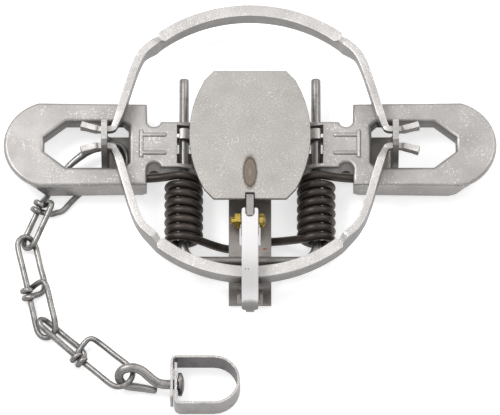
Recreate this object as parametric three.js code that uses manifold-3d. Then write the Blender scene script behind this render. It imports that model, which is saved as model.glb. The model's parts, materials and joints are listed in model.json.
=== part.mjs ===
// Offset jaw trap: a double coil-spring foothold trap, set, with its chain and swivel.
// Millimetres, +X to the right, +Y towards the back of the trap, +Z up from the floor.
// The origin is on the underside of the base strip, in the middle of the trap.

import * as THREE from 'three';
import { mergeVertices } from 'three/addons/utils/BufferGeometryUtils.js';
import Module from 'manifold-3d';

const wasm = await Module();
wasm.setup();

// Driving dimensions of the whole trap
const jawSpread = 136.6;          // clear opening between the set jaws
const seat = 0.3;                 // gap left between pieces that lie on each other
const turn = Math.PI * 2;
const overrun = 20;               // how far a cutting tool reaches past what it cuts

// Base strip and its two jaw posts
const stripThickness = 3;
const stripHalfWidth = 9.8;
const postX = 72;                 // middle of each post's thickness
const postTop = 32;
const postTopHalfWidth = 6.9;
const postTaperStart = 9;
const postBendRadius = 2;         // inside radius of the bend
const postCorner = 2.2;

// Jaw pivots in the posts
const pivotY = 4.5;
const pivotZ = 22.5;
const tabSize = 3.2;              // square end of a jaw that turns in the post
const pivotHoleRadius = 2.35;

// Spring rod
const rodRadius = 2.38;
const rodX = 32.7;
const rodZ = 10.3;
const rodRearY = 37.7;
const rodFrontY = -61.4;
const rodBend = 8;
const runningGap = 0.32;          // clearance of a turning fit

// Hooks rolled up from the base strip over the rod
const hookThickness = 1.8;
const hookFrontY = 3.6;
const hookRearY = 9.4;
const hookWrap = 2.1;             // radians of wrap past the level of the rod
const hookWindowFrontY = 0.8;
const hookWindowRearY = 6.8;
const hookWindowHalfWidth = 3.4;

// Cross frame that carries pan and dog
const crossThickness = 2.8;
const crossHalfWidth = 10.5;
const crossUnderside = 4.8;       // raised stretch, over the front arms of the springs
const crossStepStart = -10.6;
const crossStepEnd = -14.6;
const crossDropStart = -65;
const crossDropEnd = -71.5;
const crossShoulderY = -81;
const crossWindowHalfWidth = 5.9;
const crossWindowFrontY = -51.4;
const crossWindowRearY = -38.4;

// Dog post: tongue that rises from the front end and turns forward to the dog's bar
const postTongueWidth = 8;
const postRootY = -79;            // front face of the upright tongue
const postBend = 2.4;             // inside radius of both its bends
const dogPivotY = -84.5;
const dogPivotZ = 12;
const dogBar = 2.6;               // square bar that the dog turns on
const dogSlotWidth = 5.6;

// Pan bracket ears and pan bolt
const boltY = -41;
const boltZ = 14;
const boltRadius = 1.9;
const earInner = 2.25;
const earOuter = 4.35;
const earRadius = 4.6;
const earRootY = -33.4;
const nutAcross = 7.4;
const nutThickness = 2.8;
const boltTail = 1.9;
const headRadius = 3.7;
const headHeight = 3.1;

// Rivets that hold the cross frame on the base strip
const rivetX = 6;
const rivetRadius = 2.2;
const rivetHeadRadius = 4;
const rivetHeadHeight = 1.6;

// Levers
const leverTop = 16.1;
const leverSheet = 2.3;
const leverSkirtBottom = 3.8;
const leverEarBottom = 5.4;
const leverTipX = 122;
const leverEndRadius = 24;
const leverCornerHalfWidth = 23;
const leverSideHalfWidth = 22.3;
const leverSkirtEndX = 98;         // the skirts run out towards the flat rounded end
const leverSkirtRun = 11;
const leverShoulderX = 51;
const leverNeckHalfWidth = 12.7;
const leverNeckEndX = 36.2;
const leverNotchRadius = 3.5;
const leverNotchY = 13.4;
const leverEarRadius = 4.9;
const leverFold = 1.8;            // radius of the folded top edge
const leverHoleStartX = 60.1;
const leverHoleEndX = 101.8;
const leverHoleHalfWidth = 12.3;
const leverHoleChamfer = 2.6;
const leverHoleTaperX = 91;
const leverHoleTipHalfWidth = 3.6;
const leverHoleRimBottom = 8.6;
const ribHeight = 0.9;
const ribWidth = 2.3;
const ribBarX = 53.8;
const ribBarHalfLength = 8;
const ribLegY = 4.9;
const ribLegEndX = 41;

// Coil springs
const wireRadius = 2.1;
const coilRadius = 7.6;           // middle of the wire
const coilPitch = 4.72;
const coilTurns = 7;
const coilStartY = -18;
const coilSteps = 12;             // steps in one turn
const wireSides = 6;
const liftArmSlope = 0.45;        // radians below level
const liftArmY = -17.4;
const liftArmEndX = 66;
const anchorArmSlope = 0.75;
const anchorTipX = 6.3;
const anchorTipLeftY = -51.2;
const anchorTipRightY = -47.2;
const leastWireGap = 0.4;

// Jaws
const jawStrap = 3;               // thickness of the strap
const jawFace = 6.1;              // width of the clamping face
const jawFaceThickness = 2.6;
const jawHeight = 12;
const jawEdgeBreak = 0.5;
const jawOffset = 2.3;            // how far the clamping face lies below the shoulders
const jawArmTop = 3.8;            // above the pivot's level
const jawArmBottom = -4.6;
const jawDroop = 0.053;           // fall of the set jaw per unit away from its pivot
const jawShoulderAngle = 0.861;   // radians from the middle of the bow
const jawRecessAngle = 0.68;
const jawRampAngle = 0.05;
const jawArmX = 66.2;
const jawArmY = 8.2;
const jawTabEndX = 83.4;
const jawTabSpread = 2.4;

// Pan
const panTop = 27;
const panSheet = 2;
const panHalfLength = 35;
const panHalfWidth = 30;
const panEdgeHalfWidth = 19.5;
const panSlotHalfWidth = 2.3;
const panSlotDepth = 3.4;
const panCorner = 1.6;

// Pan arm
const armThickness = 3.7;
const armRearY = -8;
const armLipY = -44.8;
const armLipDepth = 5.2;
const armBossRadius = 5.2;
const armSlotClearance = 0.7;

// Dog
const dogWidth = 8.2;
const dogNeckWidth = 4.2;
const dogSheet = 2.4;
const dogTipY = -40.5;
const dogTipTop = 27.8;
const dogArchTop = 32.6;
const dogArchY = -58;
const dogShoulderY = -77.6;       // where the strip clears the outer edge of the set jaw
const dogShoulderTop = 22.4;
const dogNotchWidth = 4.5;
const dogCurlRadius = 3.5;

// Chain, swivel and bracket
const loopRisePower = 2.5;
const chainWireRadius = 1.3;
const chainWireSides = 6;
const chainStep = 2.3;
const wrapRadius = 2 * chainWireRadius + 0.35;
const knotLevel = wrapRadius + chainWireRadius + seat;
const connectorHead = new THREE.Vector3(-100.2, -20.6, 3.4);
const connectorFoot = new THREE.Vector3(-111.6, -46.2, 1.7);
const connectorHeadWidth = 9;
const connectorFootWidth = 7.2;
const link1Head = new THREE.Vector3(-114.6, -51.6, 6);
const link1Foot = new THREE.Vector3(-104.7, -95, 1.7);
const link1HeadWidth = 9.8;
const link1FootWidth = 10;
const link2Head = new THREE.Vector3(-102.4, -94.8, 6.1);
const link2Foot = new THREE.Vector3(-67.4, -126.4, 6.2);
const link2HeadWidth = 7;
const link2FootWidth = 13;
const eyeWireRadius = 2.1;
const shankRadius = 2.25;
const swivelHeadRadius = 5.6;
const swivelHeadHeight = 1.6;
const bracketSheet = 1.4;
const bracketHeight = 12.7;
const bracketRearY = -113.6;
const bracketFrontY = -138.4;
const bracketLeftX = -38.4;
const bracketRightX = -5.5;
const bracketPlateLength = 21.6;
const bracketCorner = 2;

const colours = {
  bright: { color: 0xc9c5c1, roughness: 0.5, metalness: 0.75 },
  polished: { color: 0xe4e1df, roughness: 0.3, metalness: 0.85 },
  frame: { color: 0x8d8883, roughness: 0.55, metalness: 0.75 },
  spring: { color: 0x3b3634, roughness: 0.5, metalness: 0.7 },
  chain: { color: 0x9b9893, roughness: 0.45, metalness: 0.8 },
  bolt: { color: 0xc9a13c, roughness: 0.35, metalness: 0.85 },
};

// Solids: conversions between geometry and the boolean library
function solidOf(geometry) {
  const bare = geometry.clone();
  for (const name of Object.keys(bare.attributes)) {
    if (name !== 'position') bare.deleteAttribute(name);
  }
  const welded = mergeVertices(bare, 1e-4);
  return new wasm.Manifold(new wasm.Mesh({
    numProp: 3,
    vertProperties: new Float32Array(welded.attributes.position.array),
    triVerts: new Uint32Array(welded.index.array),
  }));
}

function geometryOf(solid) {
  const mesh = solid.getMesh();
  const geometry = new THREE.BufferGeometry();
  geometry.setAttribute('position', new THREE.BufferAttribute(new Float32Array(mesh.vertProperties), 3));
  geometry.setIndex(new THREE.BufferAttribute(new Uint32Array(mesh.triVerts), 1));
  geometry.computeVertexNormals();
  return geometry;
}

// The same shape on the other side of the trap, its triangles turned to face outward again
function mirrored(geometry) {
  const copy = geometry.clone();
  copy.applyMatrix4(new THREE.Matrix4().makeScale(-1, 1, 1));
  copy.setIndex(Array.from(geometry.index.array).reverse());
  copy.computeVertexNormals();
  return copy;
}

function joined(first, ...others) {
  return others.reduce((sum, next) => sum.add(next), first);
}

function cut(first, ...tools) {
  return tools.reduce((rest, tool) => rest.subtract(tool), first);
}

// A flat outline pushed along one axis, from one level to another
function prism(points, axis, from, to) {
  const shape = new THREE.Shape(points.map(([u, v]) => new THREE.Vector2(u, v)));
  return solidOf(placed(new THREE.ExtrudeGeometry(shape, { depth: to - from, bevelEnabled: false }), axis, from));
}

// The extruded outline's own axes become X, Y and Z of the trap
function placed(geometry, axis, from) {
  geometry.translate(0, 0, from);
  const turned = new THREE.Matrix4();
  const [x, y, z] = [new THREE.Vector3(1, 0, 0), new THREE.Vector3(0, 1, 0), new THREE.Vector3(0, 0, 1)];
  if (axis === 'x') turned.makeBasis(y, z, x);
  if (axis === 'y') turned.makeBasis(z, x, y);
  return geometry.applyMatrix4(turned);
}

function box(x0, x1, y0, y1, z0, z1) {
  const geometry = new THREE.BoxGeometry(x1 - x0, y1 - y0, z1 - z0);
  return solidOf(geometry.translate((x0 + x1) / 2, (y0 + y1) / 2, (z0 + z1) / 2));
}

function arcPoints(cx, cy, radius, from, to, steps) {
  return Array.from({ length: steps + 1 }, (_, i) => {
    const angle = from + (to - from) * i / steps;
    return [cx + radius * Math.cos(angle), cy + radius * Math.sin(angle)];
  });
}

function disc(cx, cy, radius, axis, from, to, sides = 20) {
  return prism(arcPoints(cx, cy, radius, 0, turn, sides).slice(0, sides), axis, from, to);
}

// Rings of points joined into one closed skin, either end to end or round in a circle
function loft(rings, closed = false) {
  const size = rings[0].length;
  const positions = rings.flat().flatMap((p) => [p.x, p.y, p.z]);
  const index = [];
  const spans = closed ? rings.length : rings.length - 1;
  for (let i = 0; i < spans; i += 1) {
    const here = i * size;
    const next = ((i + 1) % rings.length) * size;
    for (let j = 0; j < size; j += 1) {
      const k = (j + 1) % size;
      index.push(here + j, next + j, next + k, here + j, next + k, here + k);
    }
  }
  if (!closed) {
    const last = (rings.length - 1) * size;
    for (let j = 1; j < size - 1; j += 1) {
      index.push(0, j, j + 1);
      index.push(last, last + j + 1, last + j);
    }
  }
  if (signedVolume(positions, index) < 0) index.reverse();
  const geometry = new THREE.BufferGeometry();
  geometry.setAttribute('position', new THREE.Float32BufferAttribute(positions, 3));
  geometry.setIndex(index);
  geometry.computeVertexNormals();
  return geometry;
}

function signedVolume(positions, index) {
  const corner = (i) => new THREE.Vector3().fromArray(positions, 3 * i);
  let sum = 0;
  for (let i = 0; i < index.length; i += 3) {
    sum += corner(index[i]).dot(corner(index[i + 1]).cross(corner(index[i + 2])));
  }
  return sum / 6;
}

// Round wire along a run of points; the frame is carried along so that it never twists
function wire(points, radius, sides, closed = false, radii = null) {
  const count = points.length;
  const at = (i) => points[closed ? (i + count) % count : Math.min(Math.max(i, 0), count - 1)];
  const tangents = points.map((_, i) => at(i + 1).clone().sub(at(i - 1)).normalize());
  const normals = [perpendicular(tangents[0])];
  for (let i = 1; i < count; i += 1) normals.push(carried(normals[i - 1], tangents[i]));
  const home = carried(normals[count - 1], tangents[0]);
  const side = new THREE.Vector3().crossVectors(tangents[0], normals[0]);
  const drift = closed ? Math.atan2(home.dot(side), home.dot(normals[0])) : 0;
  const rings = points.map((point, i) => {
    const across = new THREE.Vector3().crossVectors(tangents[i], normals[i]);
    const size = radii ? radii[i] : radius;
    return Array.from({ length: sides }, (_, j) => {
      const angle = turn * j / sides - drift * i / count;
      return point.clone()
        .addScaledVector(normals[i], size * Math.cos(angle))
        .addScaledVector(across, size * Math.sin(angle));
    });
  });
  return loft(rings, closed);
}

function perpendicular(tangent) {
  const rough = Math.abs(tangent.z) < 0.9 ? new THREE.Vector3(0, 0, 1) : new THREE.Vector3(1, 0, 0);
  return carried(rough, tangent);
}

function carried(normal, tangent) {
  return normal.clone().addScaledVector(tangent, -normal.dot(tangent)).normalize();
}

// Smooth, evenly stepped run of points through a few places
function smoothRun(places, step, closed = false) {
  const curve = new THREE.CatmullRomCurve3(places.map(([x, y, z]) => new THREE.Vector3(x, y, z)), closed, 'centripetal');
  const steps = Math.max(4, Math.round(curve.getLength() / step));
  const points = curve.getSpacedPoints(steps);
  return closed ? points.slice(0, steps) : points;
}

// Least clear gap between far-apart stretches of one wire
function leastGap(points, radius) {
  const along = [0];
  for (let i = 1; i < points.length; i += 1) along.push(along[i - 1] + points[i].distanceTo(points[i - 1]));
  let least = Infinity;
  for (let i = 0; i < points.length; i += 1) {
    for (let j = i + 1; j < points.length; j += 1) {
      if (along[j] - along[i] < radius * turn) continue;
      least = Math.min(least, points[i].distanceTo(points[j]) - 2 * radius);
    }
  }
  return least;
}

const trap = new THREE.Group();

function add(name, solid, finish) {
  const geometry = solid.isBufferGeometry ? solid : geometryOf(solid);
  const mesh = new THREE.Mesh(geometry, new THREE.MeshStandardMaterial(colours[finish]));
  mesh.name = name;
  trap.add(mesh);
}

// Base strip: one flat strip with both ends bent up into jaw posts
function baseFrame() {
  const outerBend = postBendRadius + stripThickness;
  const inner = postX - stripThickness / 2;
  const outer = postX + stripThickness / 2;
  const half = [
    ...arcPoints(outer - outerBend, outerBend, outerBend, -turn / 4, 0, 5),
    [outer, postTop],
    [inner, postTop],
    ...arcPoints(outer - outerBend, outerBend, postBendRadius, 0, -turn / 4, 5),
  ];
  const profile = [...half, ...half.map(([x, z]) => [-x, z]).reverse()];
  const strip = prism(profile.map(([x, z]) => [z, x]), 'y', -stripHalfWidth, stripHalfWidth);
  const taper = prism([
    [-stripHalfWidth, -overrun],
    [stripHalfWidth, -overrun],
    [stripHalfWidth, postTaperStart],
    [postTopHalfWidth, postTop - postCorner],
    [postTopHalfWidth - postCorner, postTop],
    [-postTopHalfWidth + postCorner, postTop],
    [-postTopHalfWidth, postTop - postCorner],
    [-stripHalfWidth, postTaperStart],
  ], 'x', -outer - overrun, outer + overrun);
  let solid = strip.intersect(taper);
  for (const side of [-1, 1]) {
    solid = cut(solid, box(
      side * rodX - hookWindowHalfWidth, side * rodX + hookWindowHalfWidth,
      hookWindowFrontY, hookWindowRearY, -overrun, stripThickness + overrun,
    ));
    solid = joined(solid, rodHook(side));
    for (const jaw of [-1, 1]) {
      solid = cut(solid, disc(jaw * pivotY, pivotZ, pivotHoleRadius, 'x', ...ordered(side * inner, side * outer, seat)));
    }
    solid = cut(solid, disc(side * rivetX, 0, rivetRadius + seat, 'z', -overrun, overrun, 16));
  }
  const [holeY, holeZ] = connectorHole();
  const hole = disc(holeY, holeZ, 2 * chainWireRadius, 'x', -outer - overrun, -inner + seat, 14);
  return cut(solid, hole);
}

function ordered(a, b, margin) {
  return [Math.min(a, b) - margin, Math.max(a, b) + margin];
}

// Where the chain's connector passes through the left post, above the bend
function connectorHole() {
  return [1.6 * chainWireRadius, stripThickness + postBendRadius + 2 * chainWireRadius];
}

// Hook that rises beside the rod and rolls over it
function rodHook(side) {
  const inside = rodRadius + runningGap;
  const outside = inside + hookThickness;
  const curl = [
    [outside, stripThickness / 2 - rodZ],
    ...arcPoints(0, 0, outside, 0, hookWrap, 9),
    ...arcPoints(0, 0, inside, hookWrap, 0, 9),
    [inside, stripThickness / 2 - rodZ],
  ];
  const profile = curl.map(([u, v]) => [rodZ + v, side * rodX - side * u]);
  return prism(profile, 'y', hookFrontY, hookRearY);
}

// Cross frame: stepped strip from the base to the dog post, with two bolt ears
function crossFrame() {
  const low = stripThickness + seat;
  const profile = [
    [stripHalfWidth, low],
    [stripHalfWidth, low + crossThickness],
    [crossStepStart, low + crossThickness],
    [crossStepEnd, crossUnderside + crossThickness],
    [crossDropStart, crossUnderside + crossThickness],
    [crossDropEnd, crossThickness],
    [crossShoulderY, crossThickness],
    [crossShoulderY, 0],
    [crossDropEnd + seat, 0],
    [crossDropStart - seat, crossUnderside],
    [crossStepEnd, crossUnderside],
    [crossStepStart, low],
  ];
  let solid = joined(prism(profile, 'x', -crossHalfWidth, crossHalfWidth), dogPost());
  for (const side of [-1, 1]) {
    solid = cut(solid, disc(side * rivetX, 0, rivetRadius + seat, 'z', 0, low + crossThickness + overrun, 16));
  }
  solid = cut(
    solid,
    box(-crossWindowHalfWidth, crossWindowHalfWidth, crossWindowFrontY, crossWindowRearY, 0, crossUnderside + overrun / 2),
  );
  for (const side of [-1, 1]) solid = joined(solid, boltEar(side));
  return solid;
}

// Upright tongue that turns forward into a slotted end; the slot's front bar carries the dog
function dogPost() {
  const top = dogPivotZ + dogBar / 2;
  const under = dogPivotZ - dogBar / 2;
  const front = dogPivotY - dogBar / 2;
  const inside = postRootY;
  const outside = postRootY + dogBar;
  const profile = [
    [inside, 0],
    ...arcPoints(inside - postBend, under - postBend, postBend, 0, turn / 4, 4),
    [front, under],
    [front, top],
    ...arcPoints(inside - postBend, under - postBend, postBend + dogBar, turn / 4, 0, 5),
    [outside, 0],
  ].reverse();
  const post = prism(profile, 'x', -postTongueWidth / 2, postTongueWidth / 2);
  const slotRear = inside - postBend / 3;
  return cut(post, box(
    -dogSlotWidth / 2, dogSlotWidth / 2, dogPivotY + dogBar / 2, slotRear, under - postBend / 2, top + overrun,
  ));
}

// Ear that stands up from the edge of the window and holds the pan bolt
function boltEar(side) {
  const root = crossUnderside + crossThickness / 2;
  const profile = [
    [earRootY, root],
    [earRootY, crossUnderside + crossThickness + seat],
    ...arcPoints(boltY, boltZ, earRadius, turn / 12, turn / 2, 8),
    [boltY - earRadius, root],
  ];
  const ear = prism(profile, 'x', ...ordered(side * earInner, side * earOuter, 0));
  return cut(ear, disc(boltY, boltZ, boltRadius + seat, 'x', ...ordered(side * earInner, side * earOuter, seat), 16));
}

// Rivet with a flush tail and a low domed head
function rivet(x) {
  const shankTop = stripThickness + 2 * seat + crossThickness;
  const dome = arcPoints(0, 0, 1, 0, turn / 4, 4).map(([u, v]) => [rivetHeadRadius * u, shankTop + rivetHeadHeight * v]);
  const points = [[0, seat], [rivetRadius, seat], [rivetRadius, shankTop], ...dome].map(([u, v]) => new THREE.Vector2(u, v));
  points[points.length - 1].x = 0;
  return solidOf(new THREE.LatheGeometry(points, 16).rotateX(turn / 4).translate(x, 0, 0));
}

// Spring rod: one U of round bar, open at the back, with rounded ends
function springRod() {
  const tipSteps = [1, 0.94, 0.76, 0.42];
  const rear = tipSteps.map((share) => rodRearY - rodRadius + rodRadius * Math.sqrt(1 - share * share));
  const half = [
    ...rear.map((y) => [rodX, y]).reverse(),
    ...arcPoints(rodX - rodBend, rodFrontY + rodBend, rodBend, 0, -turn / 4, 6),
  ];
  const points = [...half.map(([x, y]) => [-x, y]), ...half.reverse()].map(([x, y]) => new THREE.Vector3(x, y, rodZ));
  const radii = points.map(() => rodRadius);
  [...tipSteps].reverse().forEach((share, i) => {
    radii[i] = rodRadius * share;
    radii[points.length - 1 - i] = rodRadius * share;
  });
  return wire(points, rodRadius, 12, false, radii);
}

// Lever outline in plan, drawn for the right-hand lever, shrunk by an inset
function leverOutline(inset) {
  const endX = leverTipX - leverEndRadius;
  const radius = leverEndRadius - inset;
  const corner = Math.asin(leverCornerHalfWidth / leverEndRadius);
  const notchX = leverShoulderX - leverNotchRadius;
  const notch = leverNotchRadius + inset;
  const neck = leverNeckHalfWidth - inset;
  const dip = Math.asin((leverNotchY - neck) / notch);
  const upper = [
    [rodX - leverEarRadius, neck],
    ...arcPoints(notchX, leverNotchY, notch, turn / 2 + dip, turn, 7),
    [leverShoulderX + inset, leverSideHalfWidth - inset],
    ...arcPoints(endX, 0, radius, corner, 0, 9),
  ];
  return [...upper, ...upper.slice(0, -1).map(([x, y]) => [x, -y]).reverse()];
}

function leverHole(grow) {
  const chamfer = leverHoleChamfer + grow / 2;
  const upper = [
    [leverHoleStartX - grow, leverHoleHalfWidth + grow - chamfer],
    [leverHoleStartX - grow + chamfer, leverHoleHalfWidth + grow],
    [leverHoleTaperX, leverHoleHalfWidth + grow],
    [leverHoleEndX + grow, leverHoleTipHalfWidth + grow],
  ];
  return [...upper, ...upper.map(([x, y]) => [x, -y]).reverse()];
}

// Block with its top edges rounded over, cut off level at the bottom
function foldedBlock(outline, bottom, top, fold) {
  const shape = new THREE.Shape(outline.map(([x, y]) => new THREE.Vector2(x, y)));
  const depth = top - bottom;
  const geometry = new THREE.ExtrudeGeometry(shape, {
    depth, bevelEnabled: true, bevelThickness: fold, bevelSize: fold, bevelOffset: -fold, bevelSegments: 2,
  });
  const block = solidOf(geometry.translate(0, 0, bottom - fold));
  return block.intersect(box(-overrun, leverTipX + overrun, -leverTipX, leverTipX, bottom, top));
}

// Lever: pressed sheet with turned-down skirts, an eye for the jaws and two rod ears
function lever() {
  const under = leverTop - leverSheet;
  const outside = foldedBlock(leverOutline(0), leverSkirtBottom, leverTop, leverFold);
  const hollow = cut(
    foldedBlock(leverOutline(leverSheet), leverSkirtBottom - overrun, under, leverFold / 2),
    prism(leverHole(leverSheet), 'z', leverHoleRimBottom, leverTop),
  );
  const sideView = [
    [leverSkirtEndX, leverSkirtBottom],
    [leverSkirtEndX + leverSkirtRun / 3, leverSkirtBottom + (under - leverSkirtBottom) / 5],
    [leverSkirtEndX + leverSkirtRun * 2 / 3, under - (under - leverSkirtBottom) / 5],
    [leverSkirtEndX + leverSkirtRun, under],
    [leverTipX + overrun, under],
    [leverTipX + overrun, leverTop + overrun],
    [leverNeckEndX, leverTop + overrun],
    [leverNeckEndX, leverTop],
    ...arcPoints(rodX, rodZ, leverEarRadius, turn / 4, turn * 3 / 4, 10),
    [leverShoulderX, leverEarBottom],
    [leverShoulderX + leverSheet, leverSkirtBottom],
  ];
  const neckInner = leverNeckHalfWidth - leverSheet;
  const armBay = [leverNotchY, leverSideHalfWidth - leverSheet];
  let solid = cut(
    outside.intersect(prism(sideView.map(([x, z]) => [z, x]), 'y', -leverTipX, leverTipX)),
    hollow,
    prism(leverHole(0), 'z', -overrun, leverTop + overrun),
    box(0, leverNeckEndX, -neckInner, neckInner, -overrun, leverTop + overrun),
    box(leverShoulderX - seat, leverShoulderX + 2 * leverSheet, -armBay[1], -armBay[0], -overrun, under),
    prism(arcPoints(rodZ, rodX, rodRadius + runningGap, 0, turn, 16).slice(0, 16), 'y', -overrun, overrun),
  );
  for (const side of [-1, 1]) {
    solid = joined(solid, ridge(ribLegEndX, ribBarX, side * ribLegY, side * ribLegY));
  }
  return joined(solid, ridge(ribBarX, ribBarX, -ribBarHalfLength, ribBarHalfLength));
}

// Pressed rib on the lever's top, round-backed with tapered ends
function ridge(x0, x1, y0, y1) {
  const along = new THREE.Vector3(x1 - x0, y1 - y0, 0).normalize();
  const across = new THREE.Vector3(-along.y, along.x, 0);
  const start = new THREE.Vector3(x0, y0, leverTop);
  const end = new THREE.Vector3(x1, y1, leverTop);
  const run = [[start, -1, 0.35], [start, 0, 1], [end, 0, 1], [end, 1, 0.35]];
  const rings = run.map(([place, out, share]) => {
    const middle = place.clone().addScaledVector(along, out * ribWidth / 2);
    return arcPoints(0, 0, 1, 0, turn / 2, 6).map(([u, v]) => middle.clone()
      .addScaledVector(across, u * share * ribWidth / 2)
      .add(new THREE.Vector3(0, 0, v * share * ribHeight - leverSheet / 4)));
  });
  return solidOf(loft(rings));
}

// Coil spring on the rod, with an arm under the lever and one under the cross frame
function springRun(anchorTipY) {
  const top = turn / 4;
  const steps = coilTurns * coilSteps;
  const under = leverTop - leverSheet - seat - wireRadius;
  const floorLevel = crossUnderside - seat - wireRadius;
  const points = [];
  const place = (x, y, z) => points.push(new THREE.Vector3(x, y, z));
  const leave = new THREE.Vector2(rodX + coilRadius * Math.sin(liftArmSlope), rodZ + coilRadius * Math.cos(liftArmSlope));
  const fall = (leave.y - under) / Math.tan(liftArmSlope);
  place(liftArmEndX, liftArmY, under);
  place(leave.x + fall + wireRadius, liftArmY, under);
  place(leave.x + fall - wireRadius, liftArmY, under + wireRadius * Math.sin(liftArmSlope));
  place(leave.x, coilStartY + coilPitch * liftArmSlope / turn, leave.y);
  for (let i = 0; i <= steps; i += 1) {
    const angle = top + turn * i / coilSteps;
    place(rodX + coilRadius * Math.cos(angle), coilStartY - coilPitch * i / coilSteps, rodZ + coilRadius * Math.sin(angle));
  }
  const last = coilStartY - coilPitch * coilTurns;
  const away = new THREE.Vector2(rodX - coilRadius * Math.sin(anchorArmSlope), rodZ + coilRadius * Math.cos(anchorArmSlope));
  const drop = (away.y - floorLevel) / Math.tan(anchorArmSlope);
  const onward = last - coilPitch * anchorArmSlope / turn;
  place(
    rodX - coilRadius * Math.sin(anchorArmSlope / 2), (last + onward) / 2,
    rodZ + coilRadius * Math.cos(anchorArmSlope / 2),
  );
  place(away.x, onward, away.y);
  place(away.x - drop + wireRadius, anchorTipY, floorLevel + wireRadius * Math.sin(anchorArmSlope));
  place(away.x - drop - wireRadius / 2, anchorTipY, floorLevel);
  place(anchorTipX, anchorTipY, floorLevel);
  return points;
}

function spring(side, anchorTipY) {
  const points = springRun(anchorTipY).map((p) => new THREE.Vector3(side * p.x, p.y, p.z));
  const gap = leastGap(points, wireRadius);
  console.log(`spring ${side < 0 ? 'left' : 'right'}: least gap to itself ${gap.toFixed(3)} mm`);
  if (gap < leastWireGap) console.log('spring coils lie closer than they should');
  return wire(points, wireRadius, wireSides);
}

// Jaw: a strap on edge bent into a bow, with a wide recessed clamping face
const bowRadius = jawSpread / 2 + jawFace / 2;

function jawPlan() {
  const shoulder = [bowRadius * Math.sin(jawShoulderAngle), bowRadius * Math.cos(jawShoulderAngle)];
  const half = [
    [jawTabEndX, pivotY + jawTabSpread],
    [postX + 2 * stripThickness, pivotY + jawTabSpread / 3],
    [postX + stripThickness, pivotY],
    [postX - stripThickness, pivotY],
    [postX - 1.5 * stripThickness, pivotY + jawStrap / 5],
    [jawArmX + jawStrap / 3, pivotY + jawStrap / 2],
    [jawArmX, jawArmY],
    [(jawArmX + shoulder[0]) / 2 + jawStrap / 3, (jawArmY + shoulder[1]) / 2],
  ];
  const steps = 28;
  const bow = Array.from({ length: steps + 1 }, (_, i) => {
    const angle = jawShoulderAngle - 2 * jawShoulderAngle * i / steps;
    return [bowRadius * Math.sin(angle), bowRadius * Math.cos(angle)];
  });
  return [...half, ...bow, ...half.map(([x, y]) => [-x, y]).reverse()];
}

function ramp(value, from, to) {
  return Math.min(Math.max((value - from) / (to - from), 0), 1);
}

// Height of the strap's edges above the pivot's level at one place of the plan
function jawEdges(x, y) {
  const grow = ramp(y, pivotY + jawStrap / 2, pivotY + 2.5 * jawStrap);
  const angle = Math.abs(Math.atan2(x, y));
  const onBow = Math.hypot(x, y) > bowRadius - jawStrap / 2 && y > postX / 2;
  const recess = onBow ? 1 - ramp(angle, jawRecessAngle, jawRecessAngle + jawRampAngle) : 0;
  const deepen = onBow ? 1 - ramp(angle, jawRecessAngle, jawShoulderAngle) : 0;
  const faceTop = jawArmTop - jawOffset;
  return {
    top: tabSize / 2 + grow * (jawArmTop - tabSize / 2) - recess * jawOffset,
    bottom: -tabSize / 2 + grow * (jawArmBottom + tabSize / 2) + deepen * (faceTop - jawHeight - jawArmBottom),
  };
}

function jawLevel(y) {
  return pivotZ - jawDroop * (y - pivotY);
}

// Sections square to the plan line, each a rectangle with broken corners
function strapRings(plan, halfWidthAt, edgesAt) {
  return plan.map(([x, y], i) => {
    const [x0, y0] = plan[Math.max(i - 1, 0)];
    const [x1, y1] = plan[Math.min(i + 1, plan.length - 1)];
    const along = new THREE.Vector2(x1 - x0, y1 - y0).normalize();
    const { top, bottom } = edgesAt(x, y);
    const half = halfWidthAt(x, y);
    const rise = jawLevel(Math.max(y, pivotY));
    const chip = jawEdgeBreak;
    const section = [
      [half, bottom + chip], [half, top - chip], [half - chip, top], [chip - half, top],
      [-half, top - chip], [-half, bottom + chip], [chip - half, bottom], [half - chip, bottom],
    ];
    return section.map(([u, w]) => new THREE.Vector3(x - along.y * u, y + along.x * u, rise + w));
  });
}

function jaw(side) {
  const plan = jawPlan();
  const width = (x, y) => (y < pivotY + jawStrap && Math.abs(x) > jawArmX ? tabSize / 2 : jawStrap / 2);
  const strap = solidOf(loft(strapRings(plan, width, jawEdges)));
  const faceTop = jawArmTop - jawOffset;
  const steps = 24;
  const facePlan = Array.from({ length: steps + 1 }, (_, i) => {
    const angle = jawRecessAngle * (1 - 2 * i / steps);
    return [bowRadius * Math.sin(angle), bowRadius * Math.cos(angle)];
  });
  const face = solidOf(loft(strapRings(facePlan, () => jawFace / 2, () => ({
    top: faceTop, bottom: faceTop - jawFaceThickness,
  }))));
  const geometry = geometryOf(joined(strap, face));
  return side > 0 ? geometry : geometry.rotateZ(turn / 2);
}

// Pan: flat plate with bowed sides and a slot for the arm's lip
function panPlate() {
  const bulge = panHalfWidth - panEdgeHalfWidth;
  const radius = (panHalfLength ** 2 + bulge ** 2) / (2 * bulge);
  const sweep = Math.asin(panHalfLength / radius);
  const right = arcPoints(panHalfWidth - radius, 0, radius, -sweep, sweep, 12);
  const front = [
    [-panSlotHalfWidth, -panHalfLength],
    [-panSlotHalfWidth, -panHalfLength + panSlotDepth],
    [panSlotHalfWidth, -panHalfLength + panSlotDepth],
    [panSlotHalfWidth, -panHalfLength],
  ];
  const corners = (sign) => [sign * (panEdgeHalfWidth - panCorner), 0];
  const outline = [
    ...front,
    [corners(1)[0], -panHalfLength],
    ...right.slice(1, -1),
    [corners(1)[0], panHalfLength],
    [corners(-1)[0], panHalfLength],
    ...right.slice(1, -1).map(([x, y]) => [-x, y]).reverse(),
    [corners(-1)[0], -panHalfLength],
  ];
  return prism(outline, 'z', panTop - panSheet, panTop);
}

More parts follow.
